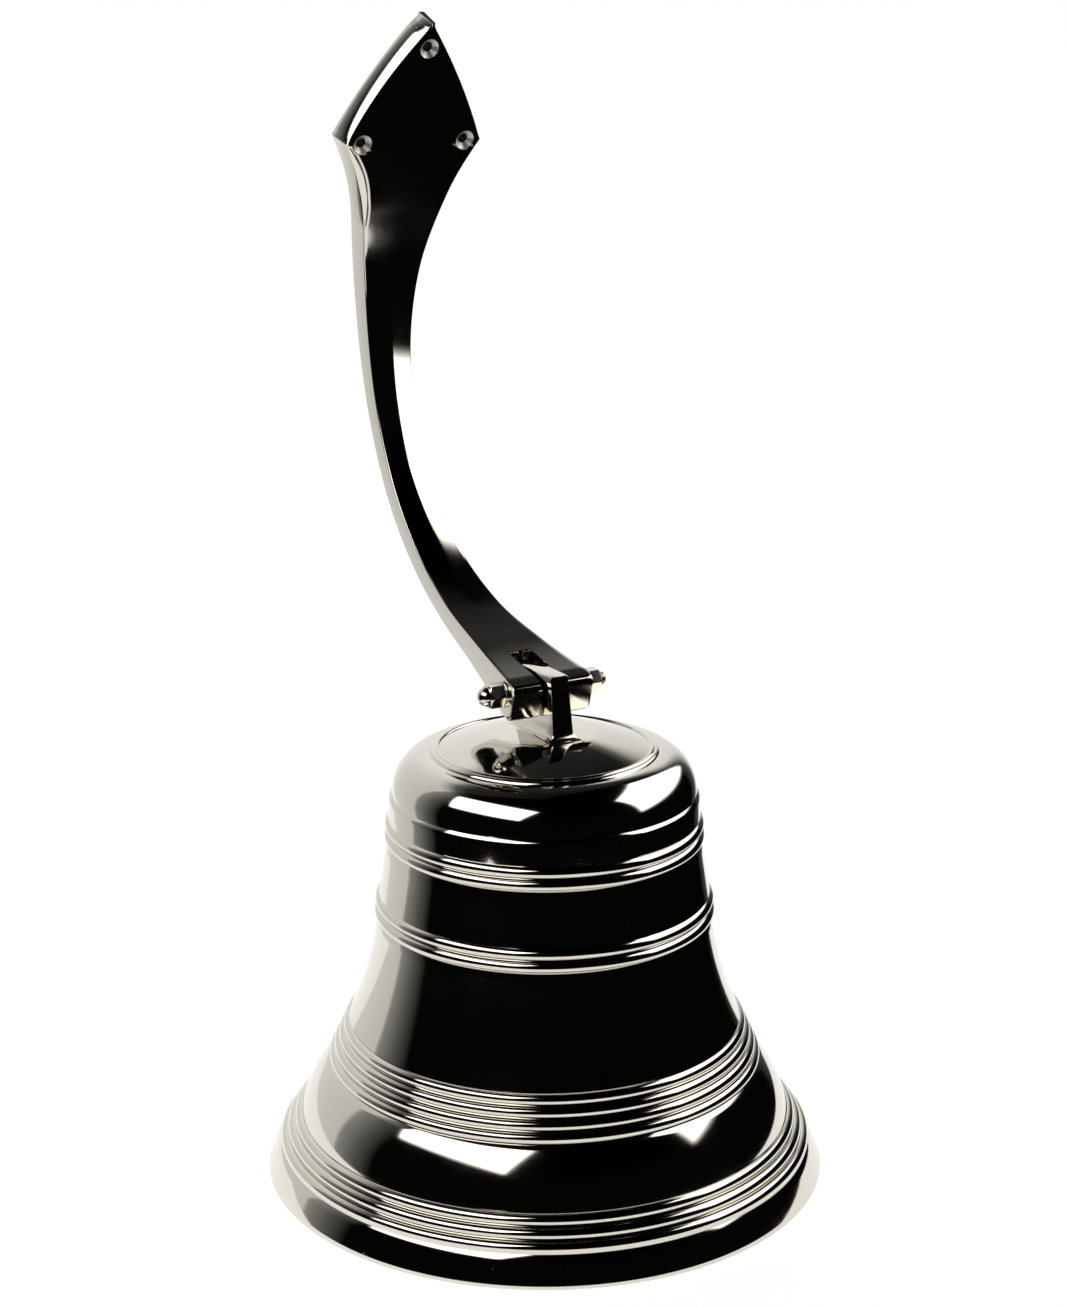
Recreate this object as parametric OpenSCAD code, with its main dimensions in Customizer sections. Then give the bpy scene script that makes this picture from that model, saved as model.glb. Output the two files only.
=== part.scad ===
// Ship bell on a swinging wall bracket.
// Units are millimetres. The bell stands on its mouth: +Z is the bell's axis, pointing up, and
// the origin is the centre of the mouth. The pivot bolt runs along X, and the bracket arm rises
// behind the bell, towards +Y.

/* [Bell] */
// Outside diameter of the mouth
mouth_d = 254; // [210:2:310]
// Outside diameter of the waist, at the lower edge of its upper reeds
waist_d = 150.5; // [120:0.5:182]
// Outside diameter under the shoulder
shoulder_d = 138; // [112:0.5:168]
// Diameter of the bead round the crown
crown_d = 97.5; // [80:0.5:118]
// Height of the crown's bead above the mouth
crown_h = 198; // [165:1:240]
// Rise of the crown from its bead to the flat that the lug stands on
crown_dome = 7; // [3:0.5:9]
// Thickness of the wall, above the sound bow
wall = 5; // [4:0.25:7]
// Thickness of the wall at the sound bow
bow_wall = 8.5; // [7:0.25:12]
// Height of one reed above the surface it stands on
reed_rise = 1.3; // [0.6:0.1:1.6]

/* [Hanger] */
// Width of the lug, front to back, at its foot
lug_w = 33; // [26:0.5:40]
// Thickness of the lug at the bolt
lug_t = 9; // [7:0.5:12]
// Height of the pivot bolt above the crown's flat
pivot_rise = 20; // [17:0.5:26]
// Diameter of the pivot bolt
pivot_d = 6; // [5:0.5:8]
// Diameter of the eye bolt's thread through the crown
eye_bolt_d = 6; // [5:0.5:7.5]

/* [Bracket] */
// Distance that the arm reaches behind the bolt
arm_reach = 149.5; // [120:0.5:180]
// Height of the lower screw holes above the bolt
arm_rise = 230; // [190:1:280]
// Width of the arm at its narrowest
arm_w = 20; // [16:0.5:26]
// Thickness of the arm
arm_t = 10; // [8:0.5:13]
// Width of the fork over its ears
fork_w = 40; // [34:0.5:48]
// Thickness of the fork, top to bottom
fork_t = 17.5; // [15:0.5:21]
// Room for the lug in the fork's slot, both sides together
slot_room = 1.6; // [1:0.2:4]
// Width of the wall plate's front across its corners
plate_w = 68; // [60:1:80]
// Length of the wall plate from its corners to its point
plate_l = 57; // [50:1:64]
// Thickness of the wall plate
plate_t = 13; // [10:0.5:16]
// Lean of the wall plate from upright, towards the bell
plate_lean = 21; // [15:1:27]
// Diameter of the circle through the screw holes
screw_circle_d = 60; // [55:1:64]
// Diameter of a screw hole
screw_d = 4.5; // [3.5:0.25:5.5]
// Diameter of a screw hole's countersink
sink_d = 9; // [8:0.5:10]

/* [Clapper] */
// Diameter of the clapper ball
ball_d = 32; // [26:1:40]
// Height of the ball's centre above the mouth
ball_h = 40; // [34:1:50]
// Diameter of the clapper rod
rod_d = 7; // [6:0.5:9]
// Diameter of the hole for a bell rope
rope_hole_d = 6.5; // [5:0.5:7]

/* [Hidden] */
$fn = 96;

run_gap = 0.05; // radial clearance of a pin in its hole, and of a thread in its mate
free_gap = 0.35; // clearance between loose pieces that hang in each other
side_play = slot_room / 2 - free_gap; // how far the fork sits along the bolt from the middle of the lug

// Heights on the outside of the bell, up from the mouth. Each band is [bottom, top, reeds].
rim_band = [14, 28, 3];
bow_band = [52.5, 72, 4];
waist_band = [120.5, 131.5, 2];
collar_band = [155.5, 166.5, 2];
band_sink = 0.4; // how far a band's grooves are cut below the plain surface
lip_in = 6; // how far the mouth draws in up to the rim band
rim_in = 16; // and up to its top
bow_in = 29.4; // and up to the bow band
low_waist_in = 38.4; // and up to the top of the bow band
lip_round = 1.5;
lip_flat = 5; // width of the flat that the bell stands on
shoulder_drop = 20; // height of the round shoulder
shoulder_step = 1.2; // small step where the shoulder starts
crown_bead = 1.4; // height of the bead round the crown
bead_w = 2.2; // width of the bead, and of the groove on each side of it
reed_steps = 6; // straight pieces in one reed's arc

mouth_r = mouth_d / 2;
waist_r = waist_d / 2;
shoulder_r = shoulder_d / 2;
crown_r = crown_d / 2;
seat_z = crown_h + crown_dome;
under_z = seat_z - wall - 1; // underside of the crown

// The lug, and the eye bolt that clamps it to the crown.
pivot_z = seat_z + pivot_rise;
lug_top_w = lug_w - 6;
lug_over = 9.5; // height of the lug above the bolt
lug_crown = 1.5; // how far the lug's top is rounded up
lug_foot_t = lug_t + 1; // thickness of the lug just above its foot
foot_h = 4.5;
foot_out = 4.2; // how far the foot spreads
seat_r = norm([lug_w / 2 + foot_out, lug_foot_t / 2 + foot_out]) + 0.5; // radius of the crown's flat, just round the foot
thread_depth = pivot_rise - 8;
nut_af = 1.6 * eye_bolt_d + 0.4; // spanner size of the crown nut
nut_h = 6.5;
washer_d = 5 * eye_bolt_d;
washer_t = 1.6;
lock_washer_t = 2;
eye_wire_r = eye_bolt_d / 2;
eye_r = 8; // radius of the eye, to the middle of its wire
neck_h = 5; // plain neck between the crown nut and the eye
washer_z = under_z - washer_t;
lock_z = washer_z - lock_washer_t;
crown_nut_z = lock_z - nut_h;
eye_z = crown_nut_z - neck_h - eye_r;
swing_z = eye_z - eye_r; // the shackle swings about the middle of the eye's lowest wire

// The shackle hangs on the eye, and the clapper hangs on the shackle.
shackle_wire_r = 2.5;
shackle_r = 10;
shackle_top_z = swing_z + eye_wire_r + shackle_wire_r + free_gap;
shackle_z = shackle_top_z - shackle_r;
clapper_swing_z = shackle_z - shackle_r;
rod_wire_r = 2.6;
rod_eye_r = 7.5;
rod_eye_top_z = clapper_swing_z + shackle_wire_r + rod_wire_r + free_gap;
rod_eye_z = rod_eye_top_z - rod_eye_r;
ball_r = ball_d / 2;
ball_flat = 1.2; // depth of the flats that the nut and the rope eye seat on
collar_h = 6.5;
collar_af = rod_d + 6;
tail_d = rope_hole_d + 6.5;
tail_h = 6; // height of the rope eye's round collar
tail_t = 5;
tail_drop = 8; // from the collar down to the rope hole's centre
rod_r = rod_d / 2;
ball_top_z = ball_h + ball_r - ball_flat;
ball_low_z = ball_h - ball_r + ball_flat;

// Pivot hardware.
pivot_r = pivot_d / 2;
pivot_af = 1.6 * pivot_d + 0.4;
pivot_nut_h = pivot_d;
pivot_washer_d = 2 * pivot_d;
pivot_washer_t = 1.2;
stud_proud = 4; // thread showing outside the hex nut
acorn_h = pivot_nut_h + 5.5;
acorn_hex_h = pivot_nut_h + 1;
slot_w = lug_foot_t + slot_room;
nose_drop = 1.75; // how far the middle of the fork's nose sits below the bolt
ear_in = slot_w / 2;
fork_left = -side_play - fork_w / 2;
fork_right = -side_play + fork_w / 2;

// Bracket.
nose_reach = 8; // how far the fork's square nose stands in front of the bolt
nose_round = 3; // radius of the nose's upper and lower edges
ridge = 1.8; // height of the soft ridge along the arm's front
edge = 1.2; // bevel on the arm's back edges
side_draft = 2; // how much wider the back of the plate is than its front, on each side
slot_depth = 22; // from the bolt to the slot's closed end
arm_steps = 5; // rings to one stretch of the spine
plate_steps = 6;
plate_dir = [-sin(plate_lean), cos(plate_lean)]; // along the plate, up to its point
plate_out = [cos(plate_lean), sin(plate_lean)]; // square to the plate, towards the wall
plate_root = [arm_reach - 27, arm_rise];
hole_side = screw_circle_d * sqrt(3) / 2;
hole_up = screw_circle_d / 4; // from the lower screw holes to the centre of their circle
// The middle of the arm as [back, up] from the bolt, fork to plate.
spine = [[0, -nose_drop], [0.23 * arm_reach, 0.037 * arm_rise], [0.455 * arm_reach, 0.085 * arm_rise],
    [0.67 * arm_reach, 0.165 * arm_rise], [0.845 * arm_reach, 0.28 * arm_rise],
    [0.957 * arm_reach, 0.426 * arm_rise], [arm_reach, 0.583 * arm_rise],
    [0.973 * arm_reach, 0.743 * arm_rise], plate_root - 27 * plate_dir, plate_root];

// A shallow curve from p to q, bulging to the right of the way from p to q.
function bow(p, q, rise, n) = let(d = q - p, side = [d[1], -d[0]] / norm(d))
    [for (i = [0 : n - 1]) p + d * i / n + side * rise * 4 * (i / n) * (1 - i / n)];

// A band of n reeds from p to q, sunk into the surface by band_sink.
function reeds(p, q, n) = let(d = q - p, side = [d[1], -d[0]] / norm(d), a = p - side * band_sink)
    [for (k = [0 : n - 1]) each bow(a + d * k / n, a + d * (k + 1) / n, reed_rise + band_sink, reed_steps),
        a + d];

function arc(c, r, a0, a1, n) = [for (i = [0 : n]) c + r * [cos(a0 + (a1 - a0) * i / n), sin(a0 + (a1 - a0) * i / n)]];

// Catmull-Rom curve through the points of a list, at station u, and its direction.
function knot(pts, i) = i < 0 ? 2 * pts[0] - pts[1] : i >= len(pts) ? 2 * pts[len(pts) - 1] - pts[len(pts) - 2] : pts[i];
function along(pts, u) = let(i = min(floor(u), len(pts) - 2), t = u - i,
    a = knot(pts, i - 1), b = knot(pts, i), c = knot(pts, i + 1), d = knot(pts, i + 2))
    (2 * b + (c - a) * t + (2 * a - 5 * b + 4 * c - d) * t * t + (3 * b - a - 3 * c + d) * t * t * t) / 2;
function heading(pts, u) = let(e = 0.01, d = along(pts, u + e) - along(pts, u - e)) d / norm(d);

function outside() = concat(
    [[mouth_r - lip_flat, 0]],
    [for (p = arc([mouth_r - lip_round, lip_round], lip_round, -90, 0, 4)) p],
    reeds([mouth_r - lip_in, rim_band[0]], [mouth_r - rim_in, rim_band[1]], rim_band[2]),
    bow([mouth_r - rim_in, rim_band[1] + 0.3], [mouth_r - bow_in + 0.6, bow_band[0] - 0.6], 1.6, 10),
    reeds([mouth_r - bow_in, bow_band[0]], [mouth_r - low_waist_in, bow_band[1]], bow_band[2]),
    bow([mouth_r - low_waist_in, bow_band[1] + 0.3], [waist_r, waist_band[0] - 0.3], -2, 10),
    reeds([waist_r, waist_band[0]], [waist_r - 0.9, waist_band[1]], waist_band[2]),
    [[waist_r - 1.1, waist_band[1] + 0.3], [shoulder_r + 1.3, collar_band[0] - 0.3]],
    reeds([shoulder_r + 1.2, collar_band[0]], [shoulder_r + 0.6, collar_band[1]], collar_band[2]),
    [[shoulder_r + 0.5, collar_band[1] + 0.3], [shoulder_r, crown_h - shoulder_drop - 1.5]],
    shoulder(),
    crown_line()
);
function shoulder() = let(w = shoulder_r - shoulder_step - crown_r - bead_w, z0 = crown_h - shoulder_drop)
    [for (a = [0 : 7.5 : 90]) [crown_r + bead_w + w * cos(a), z0 + (shoulder_drop - crown_bead) * sin(a)]];
function crown_line() = concat(
    bow([crown_r + bead_w, crown_h - crown_bead], [crown_r, crown_h], 0.5, 4),
    bow([crown_r, crown_h], [crown_r - bead_w, crown_h], 0.6, 4),
    [for (i = [0 : 6]) let(r = crown_r - bead_w - (crown_r - bead_w - seat_r) * i / 6,
        f = (r - seat_r) / (crown_r - bead_w - seat_r)) [r, seat_z - crown_dome * max(0, f) ^ 1.2]],
    [[0, seat_z]]
);
function inside() = concat(
    [[0, under_z], [seat_r, under_z]],
    bow([seat_r, under_z], [crown_r - 4, crown_h - wall - 1.5], 1, 5),
    arc([crown_r - 4, crown_h - shoulder_drop - 2], shoulder_r - wall - crown_r + 4, 90, 0, 8),
    bow([shoulder_r - wall, crown_h - shoulder_drop - 8], [waist_r - wall - 1, waist_band[0]], 0.8, 6),
    bow([waist_r - wall - 1, waist_band[0]], [mouth_r - bow_in - bow_wall + 2, bow_band[0]], 1.8, 8),
    bow([mouth_r - bow_in - bow_wall + 2, bow_band[0]], [mouth_r - lip_in - bow_wall, rim_band[0]], 1.5, 8),
    bow([mouth_r - lip_in - bow_wall, rim_band[0]], [mouth_r - lip_flat, 0], -1, 4)
);

module bell_shell() {
    color("gainsboro") difference() {
        rotate_extrude($fn = 144) polygon(concat(outside(), inside()));
        translate([0, 0, under_z - 1]) cylinder(h = wall + 4, d = eye_bolt_d + 1);
    }
}

// The lug's outline in the Y-Z plane, from height z0, tapering to a gently crowned top.
module lug_outline(t) {
    top = pivot_z + lug_over - lug_crown;
    rotate([90, 0, 90]) translate([0, 0, -t / 2]) linear_extrude(height = t)
        polygon(concat([[-lug_w / 2, seat_z + foot_h], [lug_w / 2, seat_z + foot_h]],
            [for (i = [0 : 8]) let(f = 1 - i / 4) [lug_top_w / 2 * f, top + lug_crown * (1 - f * f)]]));
}

// One slice of the foot: w front to back, t thick, h high, standing at z.
module foot_slice(w, t, z, h) {
    translate([-t / 2, -w / 2, z]) cube([t, w, h]);
}

module hanger_lug() {
    color("silver") difference() {
        union() {
            lug_outline(lug_t);
            hull() {
                foot_slice(lug_w, lug_foot_t, seat_z + foot_h, 0.1);
                foot_slice(lug_top_w, lug_t, pivot_z, 0.1);
            }
            hull() {
                foot_slice(lug_w, lug_foot_t, seat_z + foot_h, 0.1);
                foot_slice(lug_w + 0.8 * foot_out, lug_foot_t + 0.8 * foot_out, seat_z + 0.45 * foot_h, 0.1);
            }
            hull() {
                foot_slice(lug_w + 0.8 * foot_out, lug_foot_t + 0.8 * foot_out, seat_z + 0.45 * foot_h, 0.1);
                foot_slice(lug_w + 2 * foot_out, lug_foot_t + 2 * foot_out, seat_z, 0.4);
            }
        }
        translate([0, 0, pivot_z]) rotate([0, 90, 0])
            cylinder(h = 3 * lug_t, r = pivot_r + run_gap, center = true);
        translate([0, 0, seat_z - 1]) cylinder(h = thread_depth + 1, r = eye_bolt_d / 2 + run_gap);
    }
}

module hex_nut(af, h, bore_r) {
    difference() {
        intersection() {
            cylinder(h = h, d = af / cos(30), $fn = 6);
            rotate_extrude() polygon([[0, 0], [af / 2 - 0.2, 0], [af / 2 + 0.9, 0.65], [af / 2 + 0.9, h - 0.65],
                [af / 2 - 0.2, h], [0, h]]);
        }
        translate([0, 0, -1]) cylinder(h = h + 2, r = bore_r);
    }
}

module flat_ring(r_out, r_in, h) {
    difference() {
        cylinder(h = h, r = r_out);
        translate([0, 0, -1]) cylinder(h = h + 2, r = r_in);
    }
}

module crown_washer() {
    color("silver") translate([0, 0, washer_z]) flat_ring(washer_d / 2, eye_bolt_d / 2 + 0.3, washer_t);
}

module crown_lock_washer() {
    color("gray") translate([0, 0, lock_z]) difference() {
        flat_ring(eye_bolt_d / 2 + 3, eye_bolt_d / 2 + 0.3, lock_washer_t);
        translate([0, -0.6, -1]) cube([eye_bolt_d, 1.2, lock_washer_t + 2]);
    }
}

module crown_nut() {
    color("silver") translate([0, 0, crown_nut_z]) hex_nut(nut_af, nut_h, eye_bolt_d / 2 + run_gap);
}

module ring(r, wire_r) {
    rotate_extrude() translate([r, 0]) circle(r = wire_r, $fn = 48);
}

module clapper_eye_bolt() {
    color("silver") {
        translate([0, 0, eye_z]) rotate([90, 0, 0]) ring(eye_r, eye_wire_r);
        translate([0, 0, eye_z + eye_r]) cylinder(h = seat_z + thread_depth - 0.5 - eye_z - eye_r, d = eye_bolt_d);
    }
}

module clapper_shackle() {
    color("silver") translate([0, 0, shackle_z]) rotate([0, 90, 0]) ring(shackle_r, shackle_wire_r);
}

module clapper_rod() {
    color("silver") {
        translate([0, 0, rod_eye_z]) rotate([90, 0, 0]) ring(rod_eye_r, rod_wire_r);
        translate([0, 0, ball_low_z - tail_h + 1])
            cylinder(h = rod_eye_z - rod_eye_r - ball_low_z + tail_h - 1, d = rod_d);
    }
}

module clapper_collar_nut() {
    color("silver") translate([0, 0, ball_top_z]) hex_nut(collar_af, collar_h, rod_r + run_gap);
}

module clapper_ball() {
    color("silver") difference() {
        intersection() {
            translate([0, 0, ball_h]) sphere(r = ball_r);
            translate([-ball_r, -ball_r, ball_low_z]) cube([ball_d, ball_d, ball_top_z - ball_low_z]);
        }
        translate([0, 0, ball_h - ball_r - 1]) cylinder(h = ball_d + 2, r = rod_r + run_gap);
    }
}

module clapper_rope_eye() {
    hole_z = ball_low_z - tail_h - tail_drop;
    color("silver") difference() {
        union() {
            translate([0, 0, ball_low_z - tail_h]) cylinder(h = tail_h, d = tail_d);
            translate([-tail_t / 2, -tail_d / 2 + 0.5, hole_z]) cube([tail_t, tail_d - 1, tail_drop]);
            translate([0, 0, hole_z]) rotate([0, 90, 0])
                cylinder(h = tail_t, d = tail_d - 1, center = true);
        }
        translate([0, 0, ball_low_z - tail_h + 0.8]) cylinder(h = tail_h, r = rod_r + run_gap);
        translate([0, 0, hole_z]) rotate([0, 90, 0]) cylinder(h = 2 * tail_t, d = rope_hole_d, center = true);
    }
}

// Half width and thickness of the arm, at f from 0 at the bolt to 1 at the plate's corners.
function half_width(f) = (f < 0.5 ? arm_w + (fork_w - arm_w) * (1 - 2 * f) ^ 2
    : arm_w + (plate_w - arm_w) * (2 * f - 1) ^ 2.7) / 2;
function thickness(f) = f < 0.22 ? arm_t + (fork_t - arm_t) * (1 - f / 0.22) ^ 2
    : f < 0.6 ? arm_t : arm_t + (plate_t - arm_t) * (f - 0.6) / 0.4;
// The ridge fades out towards the fork and towards the plate.
function ridge_at(f) = ridge * max(0, 1 - abs((f - 0.5) / 0.36) ^ (f < 0.5 ? 2 : 4));

// One ring of the arm round the middle c: half width w, thickness t, ridge height k, and
// out, the direction from the front to the back.
function arm_ring(c, out, w, t, k, draft) = let(e = min(edge, w / 3), s = min(draft, w / 2),
    side = [-w, -w, 0, w, w, w + s, w + s - e, 0, -w - s + e, -w - s],
    deep = [-t / 2 + e / 2, -t / 2, -t / 2 - k, -t / 2, -t / 2 + e / 2, t / 2 - e, t / 2, t / 2, t / 2, t / 2 - e])
    [for (i = [0 : 9]) let(p = c + out * deep[i]) [side[i] * (i == 1 || i == 3 ? 1 - 0.3 * e / max(w, 1) : 1), p[0], p[1]]];

// The nose in front of the bolt, straight, with rounded upper and lower edges.
function nose_rings() = let(d = heading(spine, 0)) [for (a = [90 : -15 : 0])
    let(reach = nose_reach - nose_round * (1 - sin(a)))
        arm_ring(spine[0] - d * reach, [d[1], -d[0]], fork_w / 2, fork_t - 2 * nose_round * (1 - cos(a)), 0, 0)];

function arm_rings() = let(n = len(spine) - 1) concat(nose_rings(),
    [for (i = [0 : n * arm_steps - 1]) let(u = i / arm_steps, f = u / n, d = heading(spine, u))
        arm_ring(along(spine, u), [d[1], -d[0]], half_width(f), thickness(f), ridge_at(f), side_draft * max(0, 2 * f - 1))],
    [for (i = [0 : plate_steps]) let(f = i / plate_steps, w = plate_w / 2 * (1 - f) * (1 + 0.25 * f))
        arm_ring(plate_root + plate_dir * plate_l * f, plate_out, max(w, 0.9), plate_t, 0, side_draft)]
);

// A closed solid through rings of equal length.
module loft(rings) {
    m = len(rings[0]);
    last = len(rings) - 1;
    polyhedron(points = [for (r = rings) each r],
        faces = concat([[for (i = [0 : m - 1]) i]],
            [for (k = [0 : last - 1], i = [0 : m - 1])
                each let(a = k * m + i, b = k * m + (i + 1) % m) [[a, a + m, b], [b, a + m, b + m]]],
            [[for (i = [m - 1 : -1 : 0]) last * m + i]]));
}

module screw_hole() {
    translate([0, 0, -plate_t]) cylinder(h = 2 * plate_t, d = screw_d);
    translate([0, 0, -plate_t / 2 - 0.01]) cylinder(h = (sink_d - screw_d) / 2 + 0.01, d1 = sink_d + 0.02, d2 = screw_d);
    translate([0, 0, -plate_t / 2 - 2]) cylinder(h = 2, d = sink_d + 0.02);
}

module bracket_arm() {
    color("lightgray") translate([-side_play, 0, pivot_z]) difference() {
        loft(arm_rings());
        translate([-ear_in, -fork_t, -2 * fork_t]) cube([slot_w, fork_t + slot_depth, 4 * fork_t]);
        rotate([0, 90, 0]) cylinder(h = 2 * fork_w, r = pivot_r + run_gap, center = true);
        translate([0, plate_root[0], plate_root[1]]) rotate([plate_lean, 0, 0]) translate([0, 0, hole_up])
            rotate([-90, 0, 0]) for (k = [0 : 2]) rotate([0, 0, 90 + 120 * k])
                translate([-screw_circle_d / 2, 0, 0]) screw_hole();
    }
}

module pivot_stud() {
    color("silver") translate([fork_left - pivot_washer_t - acorn_h + 4, 0, pivot_z]) rotate([0, 90, 0])
        cylinder(h = fork_w + 2 * pivot_washer_t + acorn_h - 4 + pivot_nut_h + stud_proud, r = pivot_r);
}

module pivot_acorn_nut() {
    dome_r = pivot_af / 2 - 0.6;
    color("silver") translate([fork_left - pivot_washer_t, 0, pivot_z]) rotate([0, -90, 0]) difference() {
        union() {
            intersection() {
                cylinder(h = acorn_hex_h, d = pivot_af / cos(30), $fn = 6);
                rotate_extrude() polygon([[0, 0], [pivot_af / 2 - 0.1, 0], [pivot_af / 2 + 0.8, 0.5],
                    [pivot_af / 2 + 0.8, acorn_hex_h - 0.5], [pivot_af / 2 - 0.1, acorn_hex_h], [0, acorn_hex_h]]);
            }
            translate([0, 0, acorn_h - dome_r]) sphere(r = dome_r);
            cylinder(h = acorn_h - dome_r, r = dome_r);
        }
        translate([0, 0, -1]) cylinder(h = acorn_h - 3.5 + 1, r = pivot_r + run_gap);
    }
}

module pivot_hex_nut() {
    color("silver") translate([fork_right + pivot_washer_t, 0, pivot_z]) rotate([0, 90, 0])
        hex_nut(pivot_af, pivot_nut_h, pivot_r + run_gap);
}

module pivot_washers() {
    color("silver") for (x = [fork_left - pivot_washer_t, fork_right])
        translate([x, 0, pivot_z]) rotate([0, 90, 0])
            flat_ring(pivot_washer_d / 2, pivot_r + 0.2, pivot_washer_t);
}

bell_shell();
hanger_lug();
crown_washer();
crown_lock_washer();
crown_nut();
clapper_eye_bolt();
clapper_shackle();
clapper_rod();
clapper_collar_nut();
clapper_ball();
clapper_rope_eye();
bracket_arm();
pivot_stud();
pivot_acorn_nut();
pivot_hex_nut();
pivot_washers();
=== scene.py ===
"""Ship bell on a swinging wall bracket: its visible surfaces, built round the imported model."""

import math

import bmesh
import bpy
from bpy.props import FloatProperty, FloatVectorProperty, IntProperty, PointerProperty
from mathutils import Matrix, Vector


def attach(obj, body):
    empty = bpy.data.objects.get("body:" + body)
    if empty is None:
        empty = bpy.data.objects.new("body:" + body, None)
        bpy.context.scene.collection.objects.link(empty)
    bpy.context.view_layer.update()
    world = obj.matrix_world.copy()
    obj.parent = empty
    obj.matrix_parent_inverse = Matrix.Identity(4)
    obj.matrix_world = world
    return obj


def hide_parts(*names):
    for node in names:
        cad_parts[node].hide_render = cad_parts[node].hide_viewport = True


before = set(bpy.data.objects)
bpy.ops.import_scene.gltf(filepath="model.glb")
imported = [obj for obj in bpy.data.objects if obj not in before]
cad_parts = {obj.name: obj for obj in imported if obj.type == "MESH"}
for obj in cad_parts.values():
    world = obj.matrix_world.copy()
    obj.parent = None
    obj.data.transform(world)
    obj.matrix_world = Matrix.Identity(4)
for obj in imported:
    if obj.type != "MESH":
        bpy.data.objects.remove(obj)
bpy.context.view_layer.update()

bl_info = {
    "name": "Ship bell",
    "version": (1, 0, 0),
    "blender": (4, 5, 0),
    "location": "3D View > Sidebar > Ship bell",
    "description": "Builds a nickel plated ship bell on its swinging wall bracket",
    "category": "Object",
}

MM = 0.001
VIEW_TURN = math.radians(30)  # the stage is turned this far from the bolt's axis


def linear(code):
    """An sRGB colour such as "D8D4CA", as linear red, green, blue and alpha."""
    parts = [int(code[i:i + 2], 16) / 255 for i in (0, 2, 4)]
    return tuple(c / 12.92 if c <= 0.04045 else ((c + 0.055) / 1.055) ** 2.4 for c in parts) + (1.0,)


def length(name, description, millimetres):
    """A size that a user may change, given in millimetres and kept in metres."""
    return FloatProperty(name=name, description=description, default=millimetres * MM, min=0.0,
                         unit="LENGTH", subtype="DISTANCE", precision=4)


def colour(name, description, code):
    """A colour that a user may change, given as sRGB."""
    return FloatVectorProperty(name=name, description=description, default=linear(code)[:3],
                               subtype="COLOR", size=3, min=0.0, max=1.0)


# ---------------------------------------------------------------- sizes and colours

class ShipBellBellSizes(bpy.types.PropertyGroup):
    mouth_d: length("Mouth", "Outside diameter of the mouth", 254)
    waist_d: length("Waist", "Outside diameter at the lower edge of the upper reeds", 150.5)
    shoulder_d: length("Shoulder", "Outside diameter under the shoulder", 138)
    crown_d: length("Crown", "Diameter of the bead round the crown", 97.5)
    crown_h: length("Bead height", "Height of the crown's bead above the mouth", 198)
    crown_dome: length("Crown rise", "Rise of the crown from its bead to the lug's foot", 7)
    wall: length("Wall", "Thickness of the wall above the sound bow", 5)
    bow_wall: length("Sound bow wall", "Thickness of the wall at the sound bow", 8.5)
    reed_rise: length("Reed height", "Height of a turned reed above its band", 1.3)


class ShipBellLugSizes(bpy.types.PropertyGroup):
    width: length("Width", "Width of the lug, front to back, at its foot", 33)
    thickness: length("Thickness", "Thickness of the lug at the bolt", 9)
    pivot_rise: length("Bolt height", "Height of the pivot bolt above the crown", 20)
    foot_out: length("Foot spread", "How far the foot spreads round the lug", 4.2)
    foot_h: length("Foot height", "Height of the foot's fillet", 4.5)
    edge: length("Edge radius", "Radius of the lug's edges", 0.45)


class ShipBellArmSizes(bpy.types.PropertyGroup):
    reach: length("Reach", "Distance that the arm reaches behind the bolt", 149.5)
    rise: length("Rise", "Height of the lower screw holes above the bolt", 230)
    width: length("Width", "Width of the arm at its narrowest", 20)
    thickness: length("Thickness", "Thickness of the arm", 10)
    fork_w: length("Fork width", "Width of the fork over its ears", 40)
    fork_t: length("Fork thickness", "Thickness of the fork, top to bottom", 17.5)
    slot_w: length("Slot width", "Width of the fork's slot", 11.6)
    slot_depth: length("Slot depth", "From the bolt to the slot's closed end", 22)
    plate_w: length("Plate width", "Width of the wall plate's front across its corners", 68)
    plate_l: length("Plate length", "From the plate's corners to its point", 57)
    plate_t: length("Plate thickness", "Thickness of the wall plate", 13)
    screw_circle: length("Screw circle", "Diameter of the circle through the screw holes", 60)
    screw_d: length("Screw hole", "Diameter of a screw hole", 4.5)
    sink_d: length("Countersink", "Diameter of a countersink", 9)
    ridge: length("Ridge", "Height of the soft ridge along the arm's front", 1.8)


class ShipBellHardwareSizes(bpy.types.PropertyGroup):
    pivot_d: length("Pivot bolt", "Diameter of the pivot bolt", 6)
    pivot_af: length("Pivot nuts", "Width of the pivot nuts across their flats", 10)
    eye_bolt_d: length("Eye bolt", "Diameter of the eye bolt through the crown", 6)
    ball_d: length("Clapper ball", "Diameter of the clapper ball", 32)
    ball_h: length("Ball height", "Height of the ball's centre above the mouth", 40)
    rod_d: length("Clapper rod", "Diameter of the clapper rod", 7)
    rope_hole_d: length("Rope hole", "Diameter of the hole for a bell rope", 6.5)


class ShipBellFinish(bpy.types.PropertyGroup):
    nickel: colour("Nickel", "Colour of the polished nickel plate", "DCD8CF")
    satin_nickel: colour("Satin nickel", "Colour of the plate where it was left unpolished", "C9C5BC")
    zinc: colour("Zinc plate", "Colour of the zinc plated steel", "BFC3C4")
    floor: colour("Floor", "Colour of the paper that the bell stands on", "F6F6F4")
    segments: IntProperty(name="Segments", description="Facets round the bell", default=288, min=48)


# ---------------------------------------------------------------- node materials

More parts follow.
